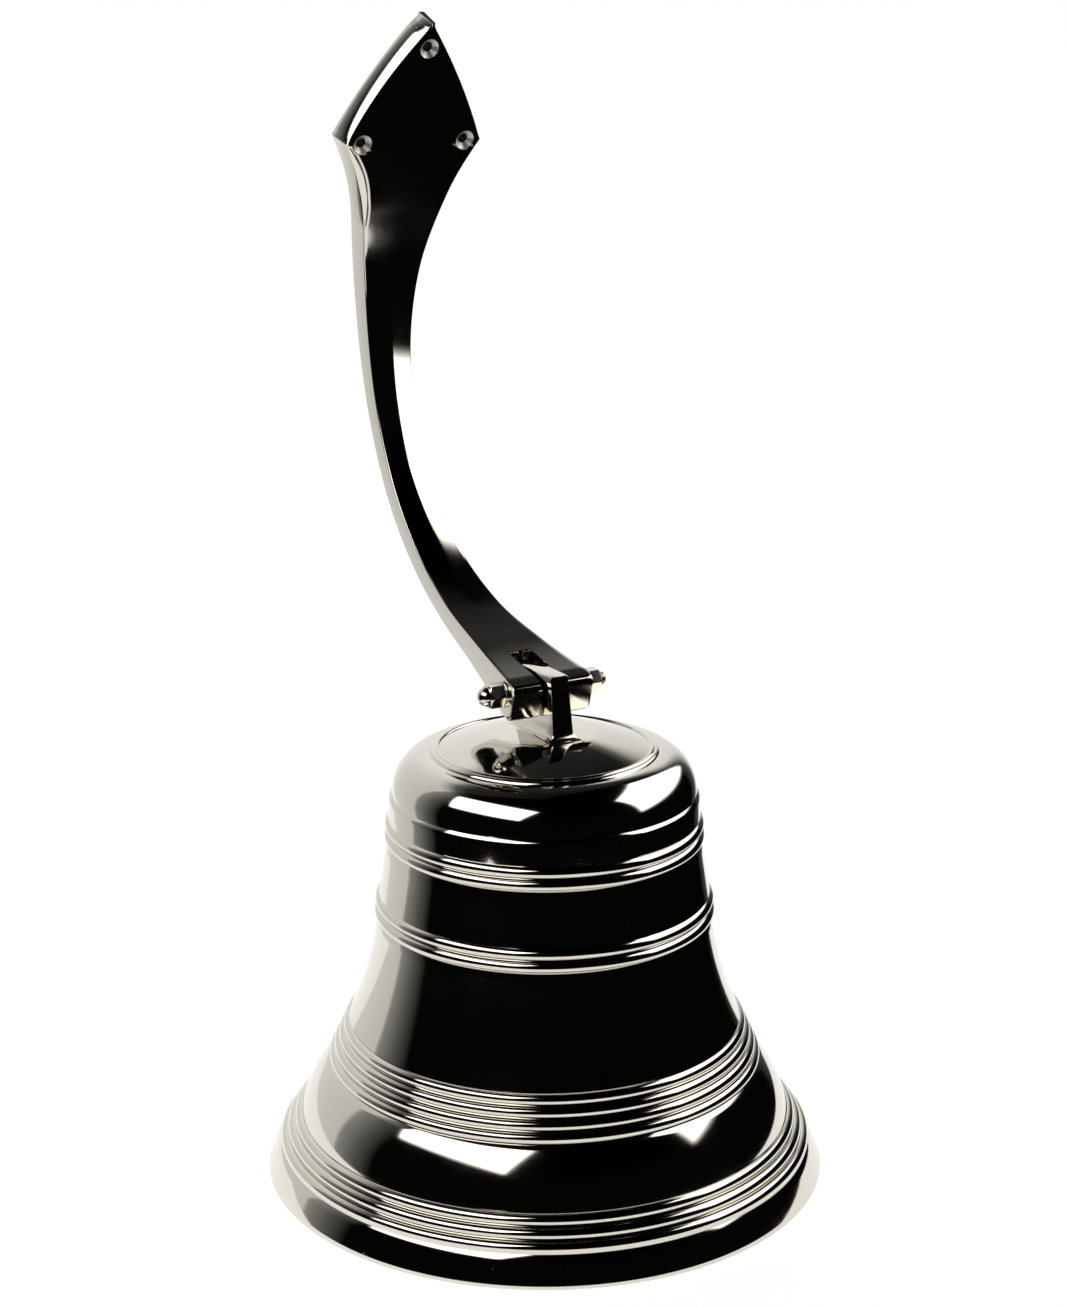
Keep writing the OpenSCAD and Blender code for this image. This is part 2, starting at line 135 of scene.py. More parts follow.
def add(tree, kind, links=(), **settings):
    """Adds a node. A setting named as a socket sets the socket, and any other sets the node.
    links are (socket of the new node, the socket or the plain value that it takes)."""
    node = tree.nodes.new(kind)
    for name, value in settings.items():
        if hasattr(node, name):
            setattr(node, name, value)
        else:
            node.inputs[name.replace("_", " ")].default_value = value
    for name, source in links:
        if isinstance(source, bpy.types.NodeSocket):
            tree.links.new(source, node.inputs[name])
        else:
            node.inputs[name].default_value = source
    return node


def new_material(name):
    """A node material with nothing in it but a metal shader and its output."""
    material = bpy.data.materials.new(name)
    material.use_nodes = True
    tree = material.node_tree
    tree.nodes.clear()
    shader = add(tree, "ShaderNodeBsdfPrincipled")
    add(tree, "ShaderNodeOutputMaterial", [("Surface", shader.outputs[0])])
    shader.inputs["Metallic"].default_value = 1.0
    return material, tree, shader


def ramp(node, stops):
    """Sets a colour ramp's stops, each (place, grey value)."""
    elements = node.color_ramp.elements
    while len(elements) > 1:
        elements.remove(elements[-1])
    for i, (place, value) in enumerate(stops):
        element = elements[0] if i == 0 else elements.new(place)
        element.position = place
        element.color = (value, value, value, 1.0)
    return node


def per_metre(millimetres):
    """Noise scale for features of that size."""
    return 1000.0 / millimetres


def mottle(tree, shader, share, tint, fade):
    """Lets the base colour drift from the tint to a faded tint, by the share from 0 to 1."""
    faded = tuple(c * k for c, k in zip(tint, fade))
    shade = add(tree, "ShaderNodeMix", data_type="RGBA")
    shade.inputs["A"].default_value = tuple(tint) + (1.0,)
    shade.inputs["B"].default_value = faded + (1.0,)
    tree.links.new(share, shade.inputs["Factor"])
    tree.links.new(shade.outputs["Result"], shader.inputs["Base Color"])


def polished_nickel(name, tint, wave_mm, wave_um, haze):
    """Bright nickel plate on buffed brass. The buffing leaves a slow swell that bends reflections,
    hairline polishing marks that soften them a little, and scattered pinholes of the casting."""
    material, tree, shader = new_material(name)
    place = add(tree, "ShaderNodeTexCoord").outputs["Object"]
    swell = add(tree, "ShaderNodeTexNoise", [("Vector", place)],
                Scale=per_metre(wave_mm), Detail=1.0)
    swell_bump = add(tree, "ShaderNodeBump", [("Height", swell.outputs["Fac"])],
                     Strength=1.0, Distance=wave_um * 1e-6)
    # Polishing hairlines run round the turned surface, so the pattern is stretched level.
    level = add(tree, "ShaderNodeMapping", [("Vector", place)], Scale=(1.0, 1.0, 22.0))
    hair = add(tree, "ShaderNodeTexNoise", [("Vector", level.outputs[0])],
               Scale=per_metre(9), Detail=6.0, Roughness=0.7)
    hair_bump = add(tree, "ShaderNodeBump",
                    [("Height", hair.outputs["Fac"]), ("Normal", swell_bump.outputs[0])],
                    Strength=0.35, Distance=2.2e-6)
    # Pinholes: about 0.4 mm across and 8 mm apart, with most of the cells left empty.
    cells = add(tree, "ShaderNodeTexVoronoi", [("Vector", place)], Scale=per_metre(8), Randomness=1.0)
    hole = add(tree, "ShaderNodeMapRange", [("Value", cells.outputs["Distance"])],
               interpolation_type="SMOOTHSTEP", From_Min=0.012, From_Max=0.045)
    chosen = add(tree, "ShaderNodeMath", [(0, cells.outputs["Color"]), (1, 0.22)],
                 operation="GREATER_THAN")
    kept = add(tree, "ShaderNodeMath", [(0, hole.outputs[0]), (1, chosen.outputs[0])],
               operation="MAXIMUM")
    hole_bump = add(tree, "ShaderNodeBump",
                    [("Height", kept.outputs[0]), ("Normal", hair_bump.outputs[0])],
                    Strength=0.7, Distance=6e-5)
    tree.links.new(hole_bump.outputs[0], shader.inputs["Normal"])
    # A film of handling marks: barely visible patches that are a little less clear.
    film = add(tree, "ShaderNodeTexNoise", [("Vector", place)],
               Scale=per_metre(38), Detail=5.0, Roughness=0.62)
    rough = add(tree, "ShaderNodeMapRange", [("Value", film.outputs["Fac"])],
                From_Min=0.35, From_Max=0.75, To_Min=haze, To_Max=haze * 2.2)
    tree.links.new(rough.outputs[0], shader.inputs["Roughness"])
    mottle(tree, shader, film.outputs["Fac"], tint, (0.965, 0.955, 0.93))
    return material


def satin_nickel(tint):
    """Nickel plate over turned but unpolished brass: fine rings from the lathe tool, 0.6 mm apart,
    spread the reflections up and down."""
    material, tree, shader = new_material("satin_nickel_turned")
    place = add(tree, "ShaderNodeTexCoord").outputs["Object"]
    split = add(tree, "ShaderNodeSeparateXYZ", [("Vector", place)])
    turns = add(tree, "ShaderNodeMath", [(0, split.outputs["Z"]), (1, 2 * math.pi * per_metre(0.6))],
                operation="MULTIPLY")
    rings = add(tree, "ShaderNodeMath", [(0, turns.outputs[0])], operation="SINE")
    patch = add(tree, "ShaderNodeTexNoise", [("Vector", place)],
                Scale=per_metre(14), Detail=6.0, Roughness=0.6)
    ring_bump = add(tree, "ShaderNodeBump", [("Height", rings.outputs[0])],
                    Strength=0.5, Distance=1.2e-5)
    patch_bump = add(tree, "ShaderNodeBump",
                     [("Height", patch.outputs["Fac"]), ("Normal", ring_bump.outputs[0])],
                     Strength=0.4, Distance=9e-5)
    tree.links.new(patch_bump.outputs[0], shader.inputs["Normal"])
    rough = add(tree, "ShaderNodeMapRange", [("Value", patch.outputs["Fac"])], To_Min=0.24, To_Max=0.46)
    tree.links.new(rough.outputs[0], shader.inputs["Roughness"])
    mottle(tree, shader, patch.outputs["Fac"], tint, (0.8, 0.8, 0.8))
    return material


def drilled_nickel(tint):
    """Plate over a countersink's cut: rings left by the drill scatter the light, so it looks pale."""
    material, tree, shader = new_material("drilled_nickel")
    place = add(tree, "ShaderNodeTexCoord").outputs["Object"]
    grain = add(tree, "ShaderNodeTexNoise", [("Vector", place)], Scale=per_metre(0.7), Detail=4.0)
    bump = add(tree, "ShaderNodeBump", [("Height", grain.outputs["Fac"])], Strength=0.5, Distance=2e-5)
    tree.links.new(bump.outputs[0], shader.inputs["Normal"])
    shader.inputs["Roughness"].default_value = 0.42
    shader.inputs["Base Color"].default_value = tuple(tint) + (1.0,)
    return material


def bore_painted_shade():
    """A screw hole's wall in a dark, dull brown: painted shade for the inside of the hole."""
    material, tree, shader = new_material("bore_painted_shade")
    place = add(tree, "ShaderNodeTexCoord").outputs["Object"]
    patch = add(tree, "ShaderNodeTexNoise", [("Vector", place)], Scale=per_metre(1.5), Detail=4.0)
    shade = add(tree, "ShaderNodeMix", [("Factor", patch.outputs["Fac"])], data_type="RGBA")
    shade.inputs["A"].default_value = linear("2A211A")
    shade.inputs["B"].default_value = linear("4A3B2A")
    tree.links.new(shade.outputs["Result"], shader.inputs["Base Color"])
    shader.inputs["Roughness"].default_value = 0.6
    return material


def zinc_plate(tint):
    """Zinc plated steel: a cool, slightly milky metal with crystals of about 2 mm in the plate."""
    material, tree, shader = new_material("zinc_plated_steel")
    place = add(tree, "ShaderNodeTexCoord").outputs["Object"]
    crystals = add(tree, "ShaderNodeTexVoronoi", [("Vector", place)], Scale=per_metre(2.2))
    grey = add(tree, "ShaderNodeSeparateColor", [("Color", crystals.outputs["Color"])])
    rough = add(tree, "ShaderNodeMapRange", [("Value", grey.outputs[0])], To_Min=0.22, To_Max=0.38)
    tree.links.new(rough.outputs[0], shader.inputs["Roughness"])
    mottle(tree, shader, grey.outputs[1], tint, (0.82, 0.82, 0.82))
    grain = add(tree, "ShaderNodeTexNoise", [("Vector", place)], Scale=per_metre(0.5), Detail=3.0)
    bump = add(tree, "ShaderNodeBump", [("Height", grain.outputs["Fac"])], Strength=0.3, Distance=1e-5)
    tree.links.new(bump.outputs[0], shader.inputs["Normal"])
    return material


def finish_of(name):
    """The named material, made when it is first asked for."""
    if name in bpy.data.materials:
        return bpy.data.materials[name]
    tints = bpy.context.scene.ship_bell_finish
    if name == "satin_nickel_turned":
        return satin_nickel(tints.satin_nickel)
    if name == "zinc_plated_steel":
        return zinc_plate(tints.zinc)
    if name == "drilled_nickel":
        return drilled_nickel(tints.nickel)
    if name == "bore_painted_shade":
        return bore_painted_shade()
    # The swell's length in millimetres and depth in micrometres, and the least roughness.
    polish = {"mirror_nickel_turned": (46, 14, 0.045), "mirror_nickel_buffed": (24, 16, 0.055),
              "bright_nickel_hardware": (6, 3, 0.075)}[name]
    return polished_nickel(name, tints.nickel, *polish)


# ---------------------------------------------------------------- mesh building, in millimetres

def sized(group):
    """The sizes of a property group in millimetres, by name."""
    values = {}
    for name in group.bl_rna.properties.keys():
        if name not in ("rna_type", "name"):
            values[name] = getattr(group, name) / MM
    return values


def bow(p, q, rise, steps, fullness=2.0):
    """Points from p up to but not at q, on a shallow curve that bulges to the right of the way."""
    along = (q[0] - p[0], q[1] - p[1])
    size = math.hypot(*along)
    side = (along[1] / size, -along[0] / size)
    points = []
    for i in range(steps):
        t = i / steps
        lift = rise * (1 - abs(2 * t - 1) ** fullness)
        points.append((p[0] + along[0] * t + side[0] * lift, p[1] + along[1] * t + side[1] * lift))
    return points


def turned(rows, segments, closed=False):
    """A surface turned round Z from (radius, height) rows. A radius may be a function of the angle."""
    bm = bmesh.new()
    rings = []
    for radius, height in rows:
        if not callable(radius) and radius < 1e-6:
            rings.append([bm.verts.new((0, 0, height))])
            continue
        ring = []
        for i in range(segments):
            angle = 2 * math.pi * i / segments
            r = radius(angle) if callable(radius) else radius
            ring.append(bm.verts.new((r * math.cos(angle), r * math.sin(angle), height)))
        rings.append(ring)
    pairs = list(zip(rings, rings[1:])) + ([(rings[-1], rings[0])] if closed else [])
    for a, b in pairs:
        join_rings(bm, a, b)
    return bm


def join_rings(bm, a, b):
    """Faces between two rings of points. Either may be a single point."""
    count = max(len(a), len(b))
    for i in range(count):
        j = (i + 1) % count
        if len(a) == 1:
            bm.faces.new((a[0], b[j], b[i]))
        elif len(b) == 1:
            bm.faces.new((a[i], a[j], b[0]))
        else:
            bm.faces.new((a[i], a[j], b[j], b[i]))


def lofted(rings):
    """A closed solid through rings of equal length, with a face over each end."""
    bm = bmesh.new()
    made = [[bm.verts.new(p) for p in ring] for ring in rings]
    for a, b in zip(made, made[1:]):
        join_rings(bm, a, b)
    bm.faces.new(made[0])
    bm.faces.new(list(reversed(made[-1])))
    return bm


def moved(bm, matrix):
    """The mesh, moved by the matrix."""
    bmesh.ops.transform(bm, matrix=matrix, verts=bm.verts)
    return bm


def lifted(z):
    """The matrix that lifts a mesh by z."""
    return Matrix.Translation((0, 0, z))


def mesh_object(name, bm, materials=()):
    """The mesh as an object in the scene, with its materials."""
    mesh = bpy.data.meshes.new(name)
    bm.to_mesh(mesh)
    bm.free()
    for material in materials:
        mesh.materials.append(material)
    obj = bpy.data.objects.new(name, mesh)
    bpy.context.scene.collection.objects.link(obj)
    return obj


def joined(*parts):
    """Several closed surfaces in one mesh."""
    whole = parts[0]
    for part in parts[1:]:
        mesh = bpy.data.meshes.new("part")
        part.to_mesh(mesh)
        part.free()
        whole.from_mesh(mesh)
        bpy.data.meshes.remove(mesh)
    return whole


def cut(bm, cutters):
    """The solid with each cutter taken away from it."""
    def temporary(name, source):
        bmesh.ops.triangulate(source, faces=source.faces)
        bmesh.ops.recalc_face_normals(source, faces=source.faces)
        return mesh_object(name, source)

    base = temporary("base", bm)
    tools = [temporary("cutter", c) for c in cutters]
    for tool in tools:
        modifier = base.modifiers.new("cut", "BOOLEAN")
        modifier.operation = "DIFFERENCE"
        modifier.solver = "EXACT"
        modifier.object = tool
    bpy.context.view_layer.update()
    evaluated = base.evaluated_get(bpy.context.evaluated_depsgraph_get())
    result = bmesh.new()
    result.from_mesh(evaluated.to_mesh())
    for obj in [base] + tools:
        mesh = obj.data
        bpy.data.objects.remove(obj)
        bpy.data.meshes.remove(mesh)
    if not result.faces:
        raise RuntimeError("a cut left nothing of its solid")
    bmesh.ops.remove_doubles(result, verts=result.verts, dist=1e-4)
    return result


def piece(name, bm, body, node, finish, sharp=38, inner=()):
    """Turns a mesh in millimetres into a named piece that rides on its body and stands for its node.
    inner lists (test of a face, its finish) for surfaces that were left in another finish."""
    bmesh.ops.scale(bm, vec=(MM, MM, MM), verts=bm.verts)
    bmesh.ops.recalc_face_normals(bm, faces=bm.faces)
    for face in bm.faces:
        face.smooth = True
        for slot_number, (test, _) in enumerate(inner, 1):
            if test(face):
                face.material_index = slot_number
    for edge in bm.edges:
        edge.smooth = edge.calc_face_angle(0) < math.radians(sharp)
    obj = mesh_object(name, bm, [finish_of(finish)] + [finish_of(other) for _, other in inner])
    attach(obj, body)
    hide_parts(node)
    return obj


def hexagon(across_flats, limit):
    """Radius of a hexagon by angle, with its corners turned off at the limit radius."""
    def radius(angle):
        off = (angle + math.pi / 6) % (math.pi / 3) - math.pi / 6
        return min(across_flats / 2 / math.cos(off), limit)
    return radius


def nut_rows(across_flats, height, bore):
    """A hexagon nut with turned chamfers at both ends, as rows from its bore round to its bore."""
    corner = across_flats / 2 / math.cos(math.pi / 6)
    inner = across_flats / 2 - 0.25
    rows = [(bore, 0.35), (bore + 0.35, 0.0), (inner, 0.0)]
    for k in range(1, 7):
        out = (corner - inner) * k / 6
        rows.append((hexagon(across_flats, inner + out), 0.58 * out))
    rows += [(r, height - z) for r, z in reversed(rows[3:])]
    rows += [(inner, height), (bore + 0.35, height), (bore, height - 0.35)]
    return rows


def washer_rows(outer, inner, height, edge=0.2):
    """A flat washer with broken edges, as rows from its bore round to its bore."""
    return [(inner, edge), (inner + edge, 0.0), (outer - edge, 0.0), (outer, edge),
            (outer, height - edge), (outer - edge, height), (inner + edge, height),
            (inner, height - edge)]


def threaded(radius, pitch, low, high, segments=48):
    """Rows of a screw thread: the groove's depth follows height and angle together."""
    depth = 0.54 * pitch
    steps = max(2, int((high - low) / pitch * 10))
    rows = []
    for i in range(steps + 1):
        z = low + (high - low) * i / steps
        fade = min(1.0, (high - z) / pitch, (z - low) / pitch + 0.02)
        rows.append((lambda angle, z=z, fade=fade: radius - depth * max(0.0, fade)
                     * abs(2 * ((z / pitch - angle / (2 * math.pi)) % 1) - 1) ** 1.3, z))
    return rows


def wire_ring(radius, wire, around=96, across=32):
    """A ring of round wire about Z."""
    bm = bmesh.new()
    rings = []
    for i in range(around):
        a = 2 * math.pi * i / around
        ring = []
        for j in range(across):
            b = 2 * math.pi * j / across
            r = radius + wire * math.cos(b)
            ring.append(bm.verts.new((r * math.cos(a), r * math.sin(a), wire * math.sin(b))))
        rings.append(ring)
    for i in range(around):
        join_rings(bm, rings[i], rings[(i + 1) % around])
    return bm


def cylinder(radius, low, high, segments=64):
    """A closed cylinder about Z."""
    return turned([(0, low), (radius, low), (radius, high), (0, high)], segments)


# These lay a piece that was made about Z along another axis.
ALONG_X = Matrix.Rotation(math.pi / 2, 4, "Y")
ALONG_MINUS_X = Matrix.Rotation(-math.pi / 2, 4, "Y")
ALONG_Y = Matrix.Rotation(math.pi / 2, 4, "X")


# ---------------------------------------------------------------- the bell

# Bands of reeds: bottom, top, number of reeds, and how far the bottom and the top stand in from
# the mouth's radius, or the waist's or the shoulder's.
RIM_BAND = (14, 28, 3, 6, 16)
BOW_BAND = (52.5, 72, 4, 29.4, 38.4)
WAIST_BAND = (120.5, 131.5, 2, 0, 0.9)
COLLAR_BAND = (155.5, 166.5, 2, -1.2, -0.6)
BAND_SINK = 0.4  # how far a band's grooves are cut below the surface beside it
RIM_FLAT = 5  # width of the mouth's flat
RIM_ROUND = 1.5  # radius of the mouth's outer edge
BEAD_WIDTH = 2.2  # width of each side of the bead round the crown
SEAT_MARGIN = 0.5
FOOT_SPREAD = 1.0  # how much thicker the lug is just above its foot than at the bolt
SHOULDER_DROP = 20
REED_STEPS = 12


def reeds(radius, band, rise):
    """A band of half-round reeds with fine grooves between them."""
    low, high, count, low_in, high_in = band
    p, q = (radius - low_in, low), (radius - high_in, high)
    along = (q[0] - p[0], q[1] - p[1])
    size = math.hypot(*along)
    side = (along[1] / size, -along[0] / size)
    start = (p[0] - side[0] * BAND_SINK, p[1] - side[1] * BAND_SINK)
    points = []
    for k in range(count):
        a = (start[0] + along[0] * k / count, start[1] + along[1] * k / count)
        b = (start[0] + along[0] * (k + 1) / count, start[1] + along[1] * (k + 1) / count)
        points += bow(a, b, rise + BAND_SINK, REED_STEPS, 2.3)
    points.append((start[0] + along[0], start[1] + along[1]))
    return points


def seat_radius(lug):
    """Radius of the crown's flat, just round the lug's foot."""
    foot_t = lug["thickness"] + FOOT_SPREAD
    return math.hypot(lug["width"] / 2 + lug["foot_out"], foot_t / 2 + lug["foot_out"]) + SEAT_MARGIN


def bell_outside(s, seat_r, bolt):
    """The outside of the bell from the mouth's flat up to the eye bolt's hole."""
    mouth, waist, shoulder, crown = (s[k] / 2 for k in ("mouth_d", "waist_d", "shoulder_d", "crown_d"))
    rise, top = s["reed_rise"], s["crown_h"]
    seat_z = top + s["crown_dome"]
    rows = [(mouth - RIM_FLAT, 0.0)]
    for i in range(7):
        a = math.radians(-90 + 15 * i)
        rows.append((mouth - RIM_ROUND + RIM_ROUND * math.cos(a), RIM_ROUND + RIM_ROUND * math.sin(a)))
    rows += bow((mouth, RIM_ROUND), (mouth - RIM_BAND[3], RIM_BAND[0]), 0.25, 8)[1:]
    rows += reeds(mouth, RIM_BAND, rise)
    rows += bow((mouth - 16, RIM_BAND[1] + 0.3), (mouth - 28.8, BOW_BAND[0] - 0.6), 1.6, 32)
    rows += reeds(mouth, BOW_BAND, rise)
    rows += bow((mouth - 38.4, BOW_BAND[1] + 0.3), (waist, WAIST_BAND[0] - 0.3), -2, 36)
    rows += reeds(waist, WAIST_BAND, rise)
    rows += bow((waist - 1.1, WAIST_BAND[1] + 0.3), (shoulder + 1.3, COLLAR_BAND[0] - 0.3), -0.05, 12)
    rows += reeds(shoulder, COLLAR_BAND, rise)
    rows += bow((shoulder + 0.5, COLLAR_BAND[1] + 0.3), (shoulder, top - SHOULDER_DROP - 1.5), 0.05, 6)
    rows += [(shoulder, top - SHOULDER_DROP - 1.5), (shoulder - 0.35, top - SHOULDER_DROP - 0.9)]
    width, foot = shoulder - 1.2 - crown - BEAD_WIDTH, top - SHOULDER_DROP
    for i in range(37):
        a = math.radians(2.5 * i)
        rows.append((crown + BEAD_WIDTH + width * math.cos(a),
                     foot + (SHOULDER_DROP - 1.4) * math.sin(a)))
    inner = crown - BEAD_WIDTH
    rows += bow((crown + BEAD_WIDTH, top - 1.4), (crown, top), 0.5, 8)[1:]
    rows += bow((crown, top), (inner, top), 0.6, 10)
    for i in range(29):
        r = inner - (inner - seat_r) * i / 28
        rows.append((r, seat_z - s["crown_dome"] * max(0.0, (r - seat_r) / (inner - seat_r)) ** 1.2))
    rows.append((bolt + 0.5, seat_z))
    return rows


def bell_inside(s, seat_r, bolt):
    """The inside of the bell from the eye bolt's hole down to the mouth's flat."""
    mouth, waist, shoulder, crown = (s[k] / 2 for k in ("mouth_d", "waist_d", "shoulder_d", "crown_d"))
    top, wall = s["crown_h"], s["wall"]
    under = top + s["crown_dome"] - wall - 1
    rows = [(bolt + 0.5, under)]
    rows += bow((seat_r, under), (crown - 4, top - wall - 1.5), 1, 12)
    reach = shoulder - wall - crown + 4
    for i in range(17):
        a = math.radians(90 - 90 * i / 16)
        rows.append((crown - 4 + reach * math.cos(a), top - SHOULDER_DROP - 2 + reach * math.sin(a)))
    stations = [(shoulder - wall, top - SHOULDER_DROP - 8), (waist - wall - 1, WAIST_BAND[0]),
                (mouth - BOW_BAND[3] - s["bow_wall"] + 2, BOW_BAND[0]),
                (mouth - RIM_BAND[3] - s["bow_wall"], RIM_BAND[0]),
                (mouth - RIM_FLAT, 0.0)]
    for (p, q), rise in zip(zip(stations, stations[1:]), (0.8, 1.8, 1.5, -1)):
        rows += bow(p, q, rise, 16)
    return rows


class SHIPBELL_OT_bell(bpy.types.Operator):
    """Turn the bell: its profile with the bands of reeds, the round shoulder and the domed crown"""
    bl_idname = "object.ship_bell_bell"
    bl_label = "Bell"

    def execute(self, context):
        scene = context.scene
        s = sized(scene.ship_bell_bell)
        seat_r = seat_radius(sized(scene.ship_bell_lug))
        bolt = sized(scene.ship_bell_hardware)["eye_bolt_d"] / 2
        outside, inside = bell_outside(s, seat_r, bolt), bell_inside(s, seat_r, bolt)
        bm = turned(outside + inside, scene.ship_bell_finish.segments, closed=True)
        bm.faces.ensure_lookup_table()
        first_inner = (len(outside) - 1) * scene.ship_bell_finish.segments
        piece("bell_shell_turned", bm, "bell", "bell_shell", "mirror_nickel_turned",
              sharp=30, inner=[(lambda face: face.index >= first_inner, "satin_nickel_turned")])
        return {"FINISHED"}


# ---------------------------------------------------------------- the lug

LUG_OVER_BOLT = 8  # from the bolt up to the lug's top edges
LUG_TOP_RISE = 1.5  # how much its rounded top stands over those edges
LUG_TAPER = 3  # how much each side leans in, from foot to top


def bolt_height(scene):
    """Height of the pivot bolt above the mouth."""
    bell, lug = sized(scene.ship_bell_bell), sized(scene.ship_bell_lug)
    return bell["crown_h"] + bell["crown_dome"] + lug["pivot_rise"]


def rounded_box_ring(half_x, half_y, radius, z, steps=5):
    """A level rectangle with rounded corners, as a ring of points. z is a number or a function of y."""
    points = []
    for quarter, (sx, sy) in enumerate(((1, 1), (-1, 1), (-1, -1), (1, -1))):
        for i in range(steps + 1):
            a = math.pi / 2 * (quarter + i / steps)
            x = sx * (half_x - radius) + radius * math.cos(a)
            y = sy * (half_y - radius) + radius * math.sin(a)
            points.append((x, y, z(y) if callable(z) else z))
    return points


class SHIPBELL_OT_lug(bpy.types.Operator):
    """Build the hanger lug with its filleted foot and the hole for the pivot bolt"""
    bl_idname = "object.ship_bell_lug"
    bl_label = "Hanger lug"

    def execute(self, context):
        scene = context.scene
        s = sized(scene.ship_bell_lug)
        bell = sized(scene.ship_bell_bell)
        pivot_r = sized(scene.ship_bell_hardware)["pivot_d"] / 2
        seat_z = bell["crown_h"] + bell["crown_dome"]
        pivot_z = seat_z + s["pivot_rise"]
        width, foot_t = s["width"] / 2, (s["thickness"] + FOOT_SPREAD) / 2
        top_w = width - LUG_TAPER
        top_z = pivot_z + LUG_OVER_BOLT
        rings = []
        for i in range(11):
            a = math.pi / 2 * i / 10
            out = s["foot_out"] * (1 - math.sin(a))
            rings.append(rounded_box_ring(foot_t + out, width + out, s["edge"] + 0.5 * out,
                                          seat_z + s["foot_h"] * (1 - math.cos(a))))
        for i in range(1, 9):
            f = i / 8
            z = seat_z + s["foot_h"] + (s["pivot_rise"] - s["foot_h"]) * f
            whole = (z - seat_z - s["foot_h"]) / (top_z - seat_z - s["foot_h"])
            rings.append(rounded_box_ring(foot_t - FOOT_SPREAD / 2 * f,
                                          width - (width - top_w) * whole, s["edge"], z))

        def crowned(y):
            return top_z + LUG_TOP_RISE * (1 - min(1.0, (y / top_w) ** 2))

        rings.append(rounded_box_ring(s["thickness"] / 2, top_w, s["edge"],
                                      lambda y: crowned(y) - s["edge"]))
        rings.append(rounded_box_ring(s["thickness"] / 2 - 0.13, top_w - 0.13, s["edge"],
                                      lambda y: crowned(y) - 0.3 * s["edge"]))
        rings.append(rounded_box_ring(s["thickness"] / 2 - s["edge"], top_w - s["edge"], 0.3, crowned))
        bm = lofted(rings)
        bm.faces.ensure_lookup_table()
        bore = moved(cylinder(pivot_r + 0.05, -20, 20), Matrix.Translation((0, 0, pivot_z)) @ ALONG_X)
        solid = cut(bm, [bore])
        piece("hanger_lug_filed", solid, "bell", "hanger_lug", "mirror_nickel_buffed",
              sharp=34)
        return {"FINISHED"}


# ---------------------------------------------------------------- the bracket

PLATE_LEAN = math.radians(21)  # from upright, towards the wall
SIDE_PLAY = 0.45  # the arm rests this far to the -X side of the lug's middle
BACK_EDGE = 1.2  # radius of the edges towards the wall
FRONT_EDGE = 0.6
FILED_EDGE = 3.0
SIDE_DRAFT = 2.0  # how much each side spreads towards the wall
NOSE_DROP = 1.75  # the fork's middle lies this far under the bolt
NOSE_REACH = 8  # from the bolt to the fork's front face
NOSE_ROUND = 3


def spine_points(s):
    """The middle of the arm as (back, up) from the bolt, from the fork to the plate's corners."""
    reach, rise = s["reach"], s["rise"]
    up = (-math.sin(PLATE_LEAN), math.cos(PLATE_LEAN))
    root = (reach - 27, rise)
    shares = ((0.23, 0.037), (0.455, 0.085), (0.67, 0.165), (0.845, 0.28), (0.957, 0.426), (1, 0.583),
              (0.973, 0.743))
    return [(0, -NOSE_DROP)] + [(a * reach, b * rise) for a, b in shares] + [
        (root[0] - 27 * up[0], root[1] - 27 * up[1]), root]


def smooth_path(points, u):
    """A smooth curve through all the points, at station u, and its direction there."""
    def knot(i):
        if i < 0:
            return Vector(points[0]) * 2 - Vector(points[1])
        if i >= len(points):
            return Vector(points[-1]) * 2 - Vector(points[-2])
        return Vector(points[i])
    i = min(int(math.floor(u)), len(points) - 2)
    t = u - i
    a, b, c, d = (knot(i + k) for k in (-1, 0, 1, 2))
    square, cube = 2 * a - 5 * b + 4 * c - d, 3 * b - a - 3 * c + d
    place = (2 * b + (c - a) * t + square * t * t + cube * t ** 3) / 2
    way = ((c - a) + 2 * square * t + 3 * cube * t * t) / 2
    return place, way.normalized()


def arm_section(centre, out, half, thick, ridge, draft, filed=0.0):
    """One ring round the arm: rounded front edges, a soft ridge, drafted sides, bevelled back edges.
    filed is the width of the flat that was filed along the front edge on the -X side."""
    front = min(FRONT_EDGE, half / 3, thick / 4)
    filed = min(filed, half / 2)
    back = min(BACK_EDGE, half / 3, thick / 4)
    draft = min(draft, half / 2)
    points = []
    for i in range(7):  # front edge on the -X side
        a = math.pi / 2 * i / 6
        wide, deep = front + filed, front + 0.62 * filed
        flat = 1 - 0.75 * filed / (filed + 0.5)  # a filed edge bulges less than a rounded one
        x = i / 6 + (1 - math.cos(a) - i / 6) * flat
        y = i / 6 + (math.sin(a) - i / 6) * flat
        points.append((-half + wide * x, -thick / 2 + deep * (1 - y)))
    left, right = -half + front + filed, half - front
    for i in range(1, 20):  # across the front, over the ridge
        x = left + (right - left) * i / 20
        lift = ridge * (1 - math.sqrt((i / 10 - 1) ** 2 + 0.004)) if ridge else 0.0
        points.append((x, -thick / 2 - max(0.0, lift)))
    for i in range(5):
        a = math.pi / 2 * i / 4
        points.append((half - front + front * math.sin(a), -thick / 2 + front - front * math.cos(a)))
    for i in range(4):
        a = math.pi / 2 * i / 3
        points.append((half + draft - back + back * math.cos(a), thick / 2 - back + back * math.sin(a)))
    for i in range(4):
        a = math.pi / 2 * i / 3
        points.append((-half - draft + back - back * math.sin(a), thick / 2 - back + back * math.cos(a)))
    return [(x, centre[0] + out[0] * d, centre[1] + out[1] * d) for x, d in points]


